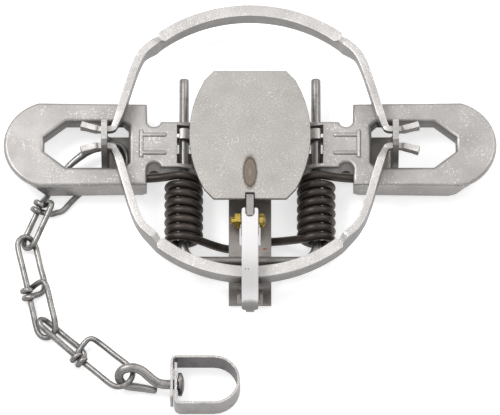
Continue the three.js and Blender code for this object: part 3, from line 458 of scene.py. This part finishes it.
def welded_copy(name):
    shape = bmesh.new()
    shape.from_mesh(nodes[name].data)
    bmesh.ops.remove_doubles(shape, verts=shape.verts, dist=WELD_MM * MM)
    bmesh.ops.dissolve_limit(
        shape, angle_limit=math.radians(FLAT_ANGLE), verts=shape.verts, edges=shape.edges)
    return shape


def finished(name, shape, material, smooth_angle, second=None):
    mesh = bpy.data.meshes.new(name)
    shape.to_mesh(mesh)
    shape.free()
    mesh.materials.append(material)
    if second:
        mesh.materials.append(second)
    for face in mesh.polygons:
        face.use_smooth = True
    mesh.set_sharp_from_angle(angle=math.radians(smooth_angle))
    piece = bpy.data.objects.new(name, mesh)
    bpy.context.scene.collection.objects.link(piece)
    return piece


def stand_in(piece, node_name):
    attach(piece, body_of_node[node_name])
    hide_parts(node_name)


print("bodies:", sorted(set(body_of_node.values())))

# %% [markdown]
# ## Softened edges
# Sheet steel that has been pressed and tumbled has no razor edges: each one is
# broken and catches a thin line of light. Choosing every edge by hand would
# take long, so a Bevel modifier rounds all that are sharper than a set angle,
# and weighted normals keep the broad faces flat beside it. The pan plate is
# the first piece made so.

# %% Softened edges
SMOOTH_BELOW, BREAK_ABOVE = 40, 32
PAN_EDGE, SHEET_EDGE = 0.35, 0.2


def flatten_faces(piece):
    flat = piece.modifiers.new("flat", "WEIGHTED_NORMAL")
    flat.weight = 100
    flat.keep_sharp = True


def break_edges(piece, width, angle):
    bevel = piece.modifiers.new("edge", "BEVEL")
    bevel.width = width * MM
    bevel.segments = 2
    bevel.limit_method = "ANGLE"
    bevel.angle_limit = math.radians(angle)
    bevel.use_clamp_overlap = False
    flatten_faces(piece)


def dressed(name, shape, material, edge, second=None):
    piece = finished(name + "_dressed", shape, material, SMOOTH_BELOW, second)
    break_edges(piece, edge, BREAK_ABOVE)
    stand_in(piece, name)
    print(name, "faces:", len(piece.data.polygons))


dressed("pan_plate", welded_copy("pan_plate"), pan_steel, PAN_EDGE)

# %% [markdown]
# ## Cross frame
# The cross frame runs from the base strip to the dog's post, and two ears bent
# up out of its windows carry the pan. The windows' corners lie a little nearer
# the middle than in the node, and the slotted tongue of the dog's post is
# broader, so that the dog has room when it is thrown over. A new mesh would
# have to be fitted again; moving a few corners of the copy leaves the rest in
# place.

# %% Cross frame
WINDOW_X, WINDOW_Y, WINDOW_EDGE_X = (5.7, 6.1), (-53, -37), 5.2
POST_TONGUE_Y = -75.5
POST_TONGUE_MOVES = {4.0: 6.3, 2.8: 4.5}
CORNER_SLACK = 0.05
shape = welded_copy("cross_frame")
window = [
    v for v in shape.verts
    if WINDOW_X[0] < abs(v.co.x) / MM < WINDOW_X[1] and WINDOW_Y[0] < v.co.y / MM < WINDOW_Y[1]]
for vertex in window:
    vertex.co.x = math.copysign(WINDOW_EDGE_X * MM, vertex.co.x)
post_tongue = [v for v in shape.verts if v.co.y < POST_TONGUE_Y * MM]
for vertex in post_tongue:
    for drawn, moved in POST_TONGUE_MOVES.items():
        if abs(abs(vertex.co.x) / MM - drawn) < CORNER_SLACK:
            vertex.co.x = math.copysign(moved * MM, vertex.co.x)
            break
print("window corners:", len(window), "tongue corners:", len(post_tongue))
dressed("cross_frame", shape, frame_steel, SHEET_EDGE)

# %% [markdown]
# ## Swivel bracket
# The bracket is one strip bent into a D. Its inside lies in shade, which is
# painted: a darker copy of the finish. Two pieces could carry the two finishes,
# but it is one strip, so its faces are told apart in place: those that look
# towards the middle of the D take the painted shade.

# %% Swivel bracket
BRACKET_MIDDLE = Vector((-24, -126, 0)) * MM
INWARD_ENOUGH = 0.3
shape = welded_copy("swivel_bracket")
for face in shape.faces:
    inward = BRACKET_MIDDLE - face.calc_center_median()
    inward.z = 0
    face.material_index = int(face.normal.dot(inward.normalized()) > INWARD_ENOUGH)
print("inner faces:", sum(face.material_index for face in shape.faces))
dressed("swivel_bracket", shape, bracket_steel, SHEET_EDGE, second=bracket_inside_shade)

# %% [markdown]
# ## Base strip and its posts
# The base strip is one strap whose ends are bent up as posts. The strip is
# dark steel; its posts stand up into the light and get a lighter grey, which is
# painted light. Splitting it would leave a seam, so the finish changes above a
# set height.

# %% Base strip and its posts
PAINTED_LIGHT_FROM_Z = 12
shape = welded_copy("base_frame")
for face in shape.faces:
    # Faces above this height take the painted light of the posts.
    face.material_index = int(face.calc_center_median().z > PAINTED_LIGHT_FROM_Z * MM)
print("post faces:", sum(face.material_index for face in shape.faces))
dressed("base_frame", shape, frame_steel, SHEET_EDGE, second=post_painted_light)

# %% [markdown]
# ## Pan arm
# The arm is welded under the pan, and its tongue reaches out in front, where
# the dog holds it down. The real tongue tapers and its end is rounded off.
# Bevel weights could round it in the modifier, but a chosen bevel is plainer:
# the copy's corners are drawn in for the taper, and the upright edges of the
# end get their own round before the fine bevel.

# %% Pan arm
ARM_TONGUE_Y, TONGUE_END_FROM = -44.0, 0.7
TONGUE_TAPER = 0.78
TONGUE_CORNER = 1.0
UPRIGHT_SLACK = 0.01


def at_tongue_end(edge):
    start, end = edge.verts
    upright = abs(start.co.x - end.co.x) < UPRIGHT_SLACK * MM
    return upright and all(v.co.y < (ARM_TONGUE_Y - TONGUE_END_FROM) * MM for v in edge.verts)


shape = welded_copy("pan_arm")
for vertex in shape.verts:
    if vertex.co.y < ARM_TONGUE_Y * MM:
        vertex.co.x *= TONGUE_TAPER
corners = [edge for edge in shape.edges if at_tongue_end(edge)]
bmesh.ops.bevel(
    shape, geom=corners, offset=TONGUE_CORNER * MM, segments=4, profile=0.5, affect="EDGES",
    clamp_overlap=True, material=-1)
print("tongue corners:", len(corners))
dressed("pan_arm", shape, arm_steel, SHEET_EDGE)

# %% [markdown]
# ## Levers
# A lever is pressed from one sheet: its skirts and the rim of its eye are
# folded down over a generous radius, which gives it its soft, rounded look.
# One wide bevel on all edges would melt its small forms. The folds are single
# chosen edges of the welded copy, so they get their own wide bevel before the
# fine one that breaks all other edges. The folded rim's sides take a copy of
# the finish with fewer nicks and more painted shade, except where it meets
# the neck.

# %% Levers
LEVER_TOP, LEVEL_SLACK = 16.1, 0.05
EYE_X, EYE_HALF_DEPTH = (59, 103), 12.6
NECK_TO_X = 66
EYE_FOLD = 2.2
RIM_HALF_DEPTH, RIM_TILT = 12.9, 0.99


def on_eye_rim(edge):
    middle = (edge.verts[0].co + edge.verts[1].co) / 2 / MM
    level = all(abs(v.co.z / MM - LEVER_TOP) < LEVEL_SLACK for v in edge.verts)
    return level and EYE_X[0] < abs(middle.x) < EYE_X[1] and abs(middle.y) < EYE_HALF_DEPTH


# Faces of the eye's folded rim that take the painted shade.
def shaded_rim(face):
    middle = face.calc_center_median() / MM
    in_eye = EYE_X[0] < abs(middle.x) < EYE_X[1] and abs(middle.y) < RIM_HALF_DEPTH
    at_neck = abs(middle.x) < NECK_TO_X and abs(face.normal.x) > abs(face.normal.y)
    return in_eye and abs(face.normal.z) < RIM_TILT and not at_neck


for name in ("lever_left", "lever_right"):
    shape = welded_copy(name)
    rim = [edge for edge in shape.edges if on_eye_rim(edge)]
    bmesh.ops.bevel(
        shape, geom=rim, offset=EYE_FOLD * MM, offset_type="OFFSET", segments=6, profile=0.5,
        affect="EDGES", clamp_overlap=False, material=-1)
    shape.normal_update()
    for face in shape.faces:
        face.material_index = int(shaded_rim(face))
    piece = finished(name + "_folded", shape, tumbled_steel, smooth_angle=35, second=rim_steel_painted_shade)
    break_edges(piece, width=0.22, angle=50)
    stand_in(piece, name)
    print(name, "eye rim edges:", len(rim))

# %% [markdown]
# ## A section pushed along a line
# Wire, rod and strap are all one section pushed along a line. A curve object
# with a bevel does that too, but keeps the same section all the way. Here the
# first ring is made once; after that each ring is extruded from the last one
# and moved to its own place, and the open end is closed. A line's corners are
# cut off three times over, which leaves an easy curve.

# %% A section pushed along a line
CORNER_CUTS, CUT_AT = 3, (0.25, 0.75)


def rounded(points):
    for _ in range(CORNER_CUTS):
        cut = [points[0]]
        for a, b in zip(points, points[1:]):
            cut += [a.lerp(b, at) for at in CUT_AT]
        points = cut + [points[-1]]
    return points


def pushed(rings):
    shape = bmesh.new()
    ring = [shape.verts.new(place) for place in rings[0]]
    shape.faces.new(ring)
    for places in rings[1:]:
        edges = [shape.edges.get((a, b)) for a, b in zip(ring, ring[1:] + ring[:1])]
        grown = bmesh.ops.extrude_edge_only(shape, edges=edges)["geom"]
        new = {item for item in grown if isinstance(item, bmesh.types.BMVert)}
        ring = [next(e.other_vert(v) for e in v.link_edges if e.other_vert(v) in new) for v in ring]
        for vertex, place in zip(ring, places):
            vertex.co = place
    shape.faces.new(reversed(ring))
    bmesh.ops.recalc_face_normals(shape, faces=shape.faces)
    return shape


corner = [Vector((0, 0)), Vector((1, 0)), Vector((1, 1))]
print("a corner of three points becomes", len(rounded(corner)))

# %% [markdown]
# ## Wire
# A wire is a round ring pushed along a line in space. Each ring stands square
# to the line and is turned as little as it can be against the last one, so
# the wire doesn't twist. Its radius shrinks over the last fraction of a
# millimetre, because a cropped wire has a small broken edge. A curve object
# with a round bevel would be quicker, but ends in a sharp disc.

# %% Wire
FIRST_ACROSS = Vector((0.31, 0.17, 0.94))


def wire_rings(points, radii, sides):
    across = FIRST_ACROSS
    rings = []
    for i, point in enumerate(points):
        along = (points[min(i + 1, len(points) - 1)] - points[max(i - 1, 0)]).normalized()
        across = (across - across.dot(along) * along).normalized()
        up = along.cross(across)
        turns = [math.tau * k / sides for k in range(sides)]
        rings.append([
            (point + radii[i] * (math.cos(t) * across + math.sin(t) * up)) * MM for t in turns])
    return rings


def wire(points, radius, sides=14, end_round=0.5):
    lengths = [0.0]
    for a, b in zip(points, points[1:]):
        lengths.append(lengths[-1] + (b - a).length)
    radii = []
    for at in lengths:
        left = max(0.0, 1 - min(at, lengths[-1] - at) / end_round)
        radii.append(radius - end_round * (1 - math.sqrt(max(0.0, 1 - left * left))))
    return pushed(wire_rings(points, radii, sides))


print("first ring leans along", [round(c, 2) for c in FIRST_ACROSS])

# %% [markdown]
# ## Ribs on the lever necks
# Three ribs are embossed in each lever's neck, a bar and two legs. They could
# be cut into the lever's own mesh, at the risk of spoiling its folds. Each is
# a short round wire with ball ends in its place, let into the sheet so that
# only its crown stands up.

# %% Ribs on the lever necks
RIB_RADIUS = 1.2
RIB_LEVEL = LEVER_TOP - 0.3
RIB_BAR_X, RIB_LEG_END_X = 53.8, 41
RIB_BAR_Y, RIB_LEG_Y = 8, 4.9
BALL_STEPS = 6
rib_ends = (
    ("bar", (RIB_BAR_X, -RIB_BAR_Y), (RIB_BAR_X, RIB_BAR_Y)),
    ("front_leg", (RIB_BAR_X, -RIB_LEG_Y), (RIB_LEG_END_X, -RIB_LEG_Y)),
    ("rear_leg", (RIB_BAR_X, RIB_LEG_Y), (RIB_LEG_END_X, RIB_LEG_Y)),
)


def ball_ended(start, end, radius):
    step = (end - start).normalized()
    ease = [radius * (1 - math.cos(math.pi / 2 * k / BALL_STEPS)) for k in range(BALL_STEPS + 1)]
    return [start + step * e for e in ease] + [end - step * e for e in reversed(ease)]


for side, lever in ((-1, "lever_left"), (1, "lever_right")):
    for part, start, end in rib_ends:
        a, b = (Vector((side * x, y, RIB_LEVEL)) for x, y in (start, end))
        shape = wire(ball_ended(a, b, RIB_RADIUS), RIB_RADIUS, end_round=RIB_RADIUS)
        piece = finished(lever + "_rib_" + part, shape, tumbled_steel, smooth_angle=60)
        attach(piece, body_of_node[lever])
print("ribs:", 2 * len(rib_ends))

# %% [markdown]
# ## Side view of the dog
# Seen from the side, the dog starts as a curl round its bar, rises in front of
# the jaw and arches over it to the pan. The curl is part of a circle and the
# arch is a few points whose corners are cut, which is easier to fit to a
# photograph than arcs are. A helper finds the place at any length on the line.

# %% Side view of the dog
DOG_PIVOT = Vector((0, -84.5, 12))
CURL_RADIUS, CURL_STEPS = 3.5, 24
CURL_FROM, CURL_TO = math.radians(324), math.radians(108)
DOG_ARCH = ((-80.5, 18.4), (-77.6, 21.2), (-69, 29.9), (-58, 31.8), (-49.2, 29.9), (-40.5, 26.6))


def dog_line():
    angles = [CURL_FROM + (CURL_TO - CURL_FROM) * k / CURL_STEPS for k in range(CURL_STEPS + 1)]
    curl = [DOG_PIVOT + CURL_RADIUS * Vector((0, math.cos(t), math.sin(t))) for t in angles]
    return curl[:-1] + rounded(curl[-1:] + [Vector((0, y, z)) for y, z in DOG_ARCH])


def line_length(line):
    return sum((b - a).length for a, b in zip(line, line[1:]))


def place_on(line, length):
    for a, b in zip(line, line[1:]):
        step = (b - a).length
        if length <= step:
            return a.lerp(b, length / step)
        length -= step
    return line[-1]


print("dog, unrolled:", round(line_length(dog_line()), 1), "mm")

# %% [markdown]
# ## Blank of the dog
# The dog is one bright strap. As in the shop, a flat blank is cut first, with
# a narrow neck, a round-bottomed slot between two prongs and rounded corners.
# A grid is the blank: its rows run along the dog and its columns lie across.
# The faces of the slot are deleted from it, and its width follows the length.

# %% Blank of the dog
DOG_WIDTH, NECK_WIDTH = 8.2, 4.2
NECK_ANGLE, WIDE_ANGLE = math.radians(167), math.radians(156)
SLOT_WIDTH, SLOT_LENGTH, SLOT_INNER = 4.5, 4.2, 0.7
TIP_CORNER = 1.3
DOG_ROWS = 130


def share(value, low, high):
    return min(max((value - low) / (high - low), 0), 1)


def flat_blank(total):
    columns = [-1, -SLOT_WIDTH / DOG_WIDTH, -SLOT_INNER * SLOT_WIDTH / DOG_WIDTH, 0]
    columns += [-c for c in reversed(columns[:-1])]
    shape = bmesh.new()
    bmesh.ops.create_grid(shape, x_segments=len(columns) - 1, y_segments=DOG_ROWS, size=1)
    for vertex in shape.verts:
        across = columns[round((vertex.co.x + 1) / 2 * (len(columns) - 1))]
        vertex.co = (across * DOG_WIDTH / 2, (vertex.co.y + 1) / 2 * total, 0)
    middles = [(face, face.calc_center_median()) for face in shape.faces]
    slot = [f for f, m in middles if m.y > total - SLOT_LENGTH and abs(m.x) < SLOT_WIDTH / 2]
    bmesh.ops.delete(shape, geom=slot, context="FACES")
    return shape


def half_width(length, total):
    narrow = share(CURL_FROM - length / CURL_RADIUS, WIDE_ANGLE, NECK_ANGLE)
    half = (NECK_WIDTH + (DOG_WIDTH - NECK_WIDTH) * math.sqrt(1 - narrow ** 2)) / 2
    corner = max(TIP_CORNER - (total - length), 0)
    return half - (TIP_CORNER - math.sqrt(TIP_CORNER ** 2 - corner ** 2))


print("half width at the neck:", half_width(0, line_length(dog_line())), "mm")

# %% [markdown]
# ## Dog
# Now the blank is bent: each of its points goes to its own length on the side
# view. The rows near the slot are drawn back towards the middle, so the slot's
# bottom is round. Solidify gives the sheet its thickness at the end, which
# keeps both faces parallel round the curl.

# %% Dog
DOG_SHEET = 2.4
SLOT_EASE = 7
OUTER_EDGE = 0.99


def bent_blank():
    line = dog_line()
    total = line_length(line)
    slot_from = total - SLOT_LENGTH
    shape = flat_blank(total)
    for vertex in shape.verts:
        u, s = vertex.co.x, vertex.co.y
        inside = 1 - min(abs(u) / (SLOT_WIDTH / 2), 1) ** 2
        ease = min(max((s - slot_from + SLOT_EASE) / SLOT_EASE, 0), 1)
        s -= SLOT_WIDTH / 2 * math.sqrt(inside) * ease
        if abs(u) > OUTER_EDGE * DOG_WIDTH / 2 or s < total / 2:
            u *= half_width(s, total) / (DOG_WIDTH / 2)
        place = place_on(line, s)
        vertex.co = Vector((u, place.y, place.z)) * MM
    bmesh.ops.recalc_face_normals(shape, faces=shape.faces)
    return shape


piece = finished("dog_strap", bent_blank(), dog_painted_highlight, smooth_angle=60)
thick = piece.modifiers.new("sheet", "SOLIDIFY")
thick.thickness = DOG_SHEET * MM
thick.offset = 0
thick.use_even_offset = True
break_edges(piece, width=0.4, angle=50)
stand_in(piece, "dog")
print("dog faces:", len(piece.data.polygons))

# %% [markdown]
# ## Line of a spring
# Each spring is seven turns of dark wire round the rod. One end runs out under
# the lever and lifts it; the other runs inward under the cross frame. Blender
# has a Screw modifier for a helix, but the arms have to leave it in easy
# curves, so the whole line is laid out as points: the lifting arm, many short
# steps round the rod, and the anchored arm.

# %% Line of a spring
ROD_X, ROD_Z = 32.7, 10.3
COIL_RADIUS, COIL_PITCH, COIL_TURNS, COIL_REAR = 7.6, 4.72, 7, -18
COIL_STEPS, STEPS_BEFORE, STEPS_AFTER = 40, 2, 5
LIFT_SLOPE, LIFT_LEVEL, LIFT_TIP, LIFT_BEND_Y = 0.45, 11.4, (66, -16.9), -17.1
ANCHOR_SLOPE, ANCHOR_LEVEL, ANCHOR_TIP_X = 0.75, 2.4, 6.3


def lift_arm():
    leave_x = ROD_X + COIL_RADIUS * math.sin(LIFT_SLOPE)
    leave_z = ROD_Z + COIL_RADIUS * math.cos(LIFT_SLOPE)
    fall = (leave_z - LIFT_LEVEL) / math.tan(LIFT_SLOPE)
    return rounded([
        Vector((*LIFT_TIP, LIFT_LEVEL)),
        Vector((leave_x + fall, LIFT_BEND_Y, LIFT_LEVEL)),
        Vector((leave_x, COIL_REAR + COIL_PITCH * LIFT_SLOPE / math.tau, leave_z)),
    ])


def coil_points():
    points = []
    for i in range(-STEPS_BEFORE, COIL_TURNS * COIL_STEPS + STEPS_AFTER):
        turn = math.tau * (0.25 + i / COIL_STEPS)
        points.append(Vector((
            ROD_X + COIL_RADIUS * math.cos(turn), COIL_REAR - COIL_PITCH * i / COIL_STEPS,
            ROD_Z + COIL_RADIUS * math.sin(turn))))
    return points


def anchor_arm(tip_y):
    away_x = ROD_X - COIL_RADIUS * math.sin(ANCHOR_SLOPE)
    away_z = ROD_Z + COIL_RADIUS * math.cos(ANCHOR_SLOPE)
    drop = (away_z - ANCHOR_LEVEL) / math.tan(ANCHOR_SLOPE)
    last = COIL_REAR - COIL_PITCH * COIL_TURNS - COIL_PITCH * ANCHOR_SLOPE / math.tau
    return rounded([
        Vector((away_x, last, away_z)),
        Vector((away_x - drop, tip_y, ANCHOR_LEVEL)),
        Vector((ANCHOR_TIP_X, tip_y, ANCHOR_LEVEL)),
    ])


print("points round the rod:", len(coil_points()))

# %% [markdown]
# ## Coil springs
# A working spring twists when its lever lifts, but this one is made as a single
# fixed piece. The left spring is the right one mirrored, apart from where its
# anchored arm ends.

# %% Coil springs
SPRING_WIRE = 2.08
for name, side, anchor_y, lever in (
        ("spring_left", -1, -51.2, "lever_left"), ("spring_right", 1, -47.2, "lever_right")):
    line = lift_arm() + coil_points() + anchor_arm(anchor_y)
    mirrored = [Vector((side * p.x, p.y, p.z)) for p in line]
    piece = finished(name + "_coil", wire(mirrored, SPRING_WIRE), spring_black, smooth_angle=60)
    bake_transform(piece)
    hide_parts(name)
    print(name, "points in its line:", len(line))

# %% [markdown]
# ## Spring rod
# One round rod is bent into a long U that both springs turn on. Its two rear
# ends are cropped square with a small broken edge. The node has few sides and
# shows them, so the rod is made again as a wire of more sides on its line.

# %% Spring rod
ROD_REAR, ROD_FRONT, ROD_BEND, ROD_RADIUS = 37.7, -61.4, 8, 2.38
BEND_STEPS = 10
END_STEPS = (0, 0.15, 0.35, 0.6, 4)
bend_angles = [math.pi / 2 * k / BEND_STEPS for k in range(BEND_STEPS + 1)]
bend = [
    Vector((
        ROD_X - ROD_BEND + ROD_BEND * math.cos(t),
        ROD_FRONT + ROD_BEND - ROD_BEND * math.sin(t), ROD_Z))
    for t in bend_angles]
half = [Vector((ROD_X, ROD_REAR - cut, ROD_Z)) for cut in END_STEPS] + bend
rod_line = half + [Vector((-p.x, p.y, p.z)) for p in reversed(half)]
shape = wire(rod_line, ROD_RADIUS, sides=20, end_round=0.6)
piece = finished("spring_rod_round", shape, rod_steel, smooth_angle=50)
stand_in(piece, "spring_rod")
print("rod, unrolled:", round(line_length(rod_line)), "mm")

# %% [markdown]
# ## Chain and swivel eye
# The chain is bent from wire, and so is the eye. Their nodes are wires of few
# sides, and their loops are wound so closely that laying them out again would
# be long work. The copy is put back into four-sided faces, swelled a little
# and subdivided, so the wire comes out round and its bends run smoothly. The
# first link, the connector, also rises in a low arch and is fuller there.

# %% Chain and swivel eye
ARCH_FROM, ARCH_TO, ARCH_FRONT = 73.5, 95, -12.5
ARCH_RISE = Vector((0, 1.4, 2.6))
ARCH_SWELL, WIRE_SWELL = 0.55, 0.45
JOIN_ANGLE = 60
ROUND_LEVELS = 2


def arched(place):
    reach = (-place.x / MM - ARCH_FROM) / (ARCH_TO - ARCH_FROM)
    if not 0 < reach < 1 or place.y < ARCH_FRONT * MM:
        return Vector((0, 0, 0)), 0
    bump = math.sin(math.pi * reach)
    return ARCH_RISE * bump * MM, ARCH_SWELL * bump


def round_wire(name, material):
    shape = bmesh.new()
    shape.from_mesh(nodes[name].data)
    bmesh.ops.remove_doubles(shape, verts=shape.verts, dist=WELD_MM * MM)
    bmesh.ops.join_triangles(
        shape, faces=shape.faces, angle_face_threshold=math.radians(JOIN_ANGLE),
        angle_shape_threshold=math.pi)
    shape.normal_update()
    for vertex, normal in [(v, v.normal.copy()) for v in shape.verts]:
        shift, extra = arched(vertex.co) if name == "chain_connector" else (Vector((0, 0, 0)), 0)
        vertex.co += shift + (WIRE_SWELL + extra) * MM * normal
        vertex.co.z = max(vertex.co.z, 0)
    piece = finished(name + "_round", shape, material, smooth_angle=180)
    smooth = piece.modifiers.new("round", "SUBSURF")
    smooth.levels = ROUND_LEVELS
    smooth.render_levels = ROUND_LEVELS
    stand_in(piece, name)
    print(name, "faces before rounding:", len(piece.data.polygons))


for name in ("chain_connector", "chain_link_1", "chain_link_2"):
    round_wire(name, chain_steel)
round_wire("swivel_eye", eye_steel)

# %% [markdown]
# ## Swivel head
# The eye's shank passes through the bracket, and its end is hammered into a
# head that stands as a low dome. A spin of its profile would make one too; a
# sphere flattened along the shank is quicker. It sits where the node's flat
# head is.

# %% Swivel head
HEAD_CENTRE, HEAD_RADIUS, HEAD_DOME = Vector((-33.7, -126, 6.35)), 5.2, 1.5
shape = bmesh.new()
bmesh.ops.create_uvsphere(shape, u_segments=32, v_segments=16, radius=HEAD_RADIUS * MM)
bmesh.ops.scale(shape, vec=(HEAD_DOME / HEAD_RADIUS, 1, 1), verts=shape.verts)
bmesh.ops.translate(shape, vec=HEAD_CENTRE * MM, verts=shape.verts)
# The head takes the darker grey that paints the shade inside the bracket.
piece = finished("swivel_head_dome", shape, bracket_inside_shade, smooth_angle=60)
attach(piece, body_of_node["swivel_eye"])
print("head:", 2 * HEAD_RADIUS, "mm across")

# %% [markdown]
# ## Line of a jaw
# A jaw is a strap on edge. Seen from above it starts in a tab that sits in the
# lever's eye and the post, turns the corner, runs out as an arm and goes round
# in a bow. The bends are single points, and cutting the corners rounds them as
# the real strap's are: drawing each bend as an arc would take more numbers.

# %% Line of a jaw
JAW_FACE = 6.1
JAW_SPREAD = 136.6
BOW_RADIUS, BOW_END, BOW_STEPS = (JAW_SPREAD + JAW_FACE) / 2, 0.72, 60
TAB_POINTS = ((83.4, 6.9), (78, 5.3), (75, 4.5), (69, 4.5), (67.5, 5.1), (67.2, 6.0), (66.2, 8.2))
ARM_POINTS = ((60.8, 27.6), (57.4, 39.4), (53.9, 47.6))


def jaw_line():
    half = [Vector(p) for p in TAB_POINTS + ARM_POINTS]
    angles = [BOW_END * (1 - 2 * k / BOW_STEPS) for k in range(BOW_STEPS + 1)]
    bow = [Vector((BOW_RADIUS * math.sin(t), BOW_RADIUS * math.cos(t))) for t in angles]
    return rounded(half + bow + [Vector((-p.x, p.y)) for p in reversed(half)])


print("jaw, unrolled:", round(line_length(jaw_line())), "mm")

# %% [markdown]
# ## Section of a jaw
# The section changes along the line: a small square at the tab, a tall strap
# at the arm, which is a little plumper, and a T at the clamping face in the
# middle, which lies lower than the shoulders. Its arms shrink to nothing past
# the face. Separate pieces would leave seams, but one outline of fifteen
# corners can be all of these, as only the places of its corners change.

# %% Section of a jaw
PIVOT_Y, PIVOT_Z = 4.5, 22.5
JAW_STRAP, JAW_FACE_SHEET, JAW_HEIGHT = 3.0, 2.6, 12.0
JAW_OFFSET, JAW_ARM_TOP, JAW_ARM_BOTTOM, JAW_DROOP = 2.3, 3.8, -4.6, 0.053
SHOULDER_ANGLE, RECESS_ANGLE, RAMP_ANGLE, SPREAD_ANGLE = 0.861, 0.68, 0.05, 0.02
BOW_FROM_Y = 36
TAB, TAB_TO_X, TAB_SWELL, TAB_SWELL_X = 3.2, 66.2, 0.6, (75, 76)
ARM_GROWS_Y, ARM_PLUMP = (PIVOT_Y + JAW_STRAP / 2, PIVOT_Y + 2.5 * JAW_STRAP), 0.9
JAW_EDGE, EDGE_CUT = 0.5, 0.3
PLAIN_LIP, LIP_OUT, LIP_DROP = 0.4, 0.02, 0.05


def jaw_section(point):
    angle = abs(math.atan2(point.x, point.y))
    on_bow = point.length > BOW_RADIUS - JAW_STRAP / 2 and point.y > BOW_FROM_Y
    grow = share(point.y, *ARM_GROWS_Y)
    past_face = share(angle, RECESS_ANGLE, RECESS_ANGLE + RAMP_ANGLE)
    recess = 1 - past_face if on_bow else 0
    deepen = 1 - share(angle, RECESS_ANGLE, SHOULDER_ANGLE) if on_bow else 0
    spread = share(RECESS_ANGLE - angle, 0, SPREAD_ANGLE) if on_bow else 0
    face_bottom = JAW_ARM_TOP - JAW_OFFSET - JAW_HEIGHT
    level = PIVOT_Z - JAW_DROOP * max(point.y - PIVOT_Y, 0)
    swell = TAB_SWELL * share(abs(point.x), *TAB_SWELL_X)
    top = level + TAB / 2 + grow * (JAW_ARM_TOP - TAB / 2) - recess * JAW_OFFSET + swell
    bottom = level - TAB / 2 + grow * (JAW_ARM_BOTTOM + TAB / 2)
    bottom += deepen * (face_bottom - JAW_ARM_BOTTOM)
    bottom -= swell
    on_tab = point.y < PIVOT_Y + JAW_STRAP and abs(point.x) > TAB_TO_X
    stem = (TAB if on_tab else JAW_STRAP) / 2
    lip = stem + LIP_OUT + spread * (JAW_FACE - JAW_STRAP) / 2
    under = top - (JAW_FACE_SHEET if spread else JAW_EDGE + PLAIN_LIP)
    half = [
        (stem - JAW_EDGE, bottom), (stem, bottom + JAW_EDGE), (stem, under - LIP_DROP),
        (lip, under), (lip, top - JAW_EDGE),
        (lip - EDGE_CUT * JAW_EDGE, top - EDGE_CUT * JAW_EDGE), (lip - JAW_EDGE, top)]
    plump = ARM_PLUMP * grow * past_face
    return [(0, bottom)] + [(u + plump, z) for u, z in half] + [(-u, z) for u, z in reversed(half)]


print("corners of a section:", len(jaw_section(jaw_line()[0])))

# %% [markdown]
# ## Jaws
# Each section is stood square to the line and the row of them is pushed into
# one strap. The front jaw is the rear one turned by half a turn about the
# middle of the trap, so one function makes both. Weighted normals keep the
# long faces flat.


# %% Jaws
def jaw_rings(side):
    line = jaw_line()
    rings = []
    for i, point in enumerate(line):
        ahead = (line[min(i + 1, len(line) - 1)] - line[max(i - 1, 0)]).normalized()
        across = Vector((-ahead.y, ahead.x))
        rings.append([
            Vector((side * (point.x + u * across.x), side * (point.y + u * across.y), z)) * MM
            for u, z in jaw_section(point)])
    return rings


for name, side in (("jaw_rear", 1), ("jaw_front", -1)):
    piece = finished(name + "_strap", pushed(jaw_rings(side)), jaw_steel, smooth_angle=35)
    flatten_faces(piece)
    stand_in(piece, name)
    print(name, "faces:", len(piece.data.polygons))

# %% [markdown]
# ## Finishes for the nodes that stay
# The rivets, the bolt and the nut are smooth turned shapes already. Copies
# would add nothing, so their nodes stay and only take a finish.

# %% Finishes for the nodes that stay
finishes = {
    frame_steel: ["rivet_left", "rivet_right"],
    yellow_plate: ["pan_bolt", "pan_nut"],
}
for material, names in finishes.items():
    for name in names:
        mesh = nodes[name].data
        mesh.materials.clear()
        mesh.materials.append(material)
print("nodes that stay:", sum(len(names) for names in finishes.values()))
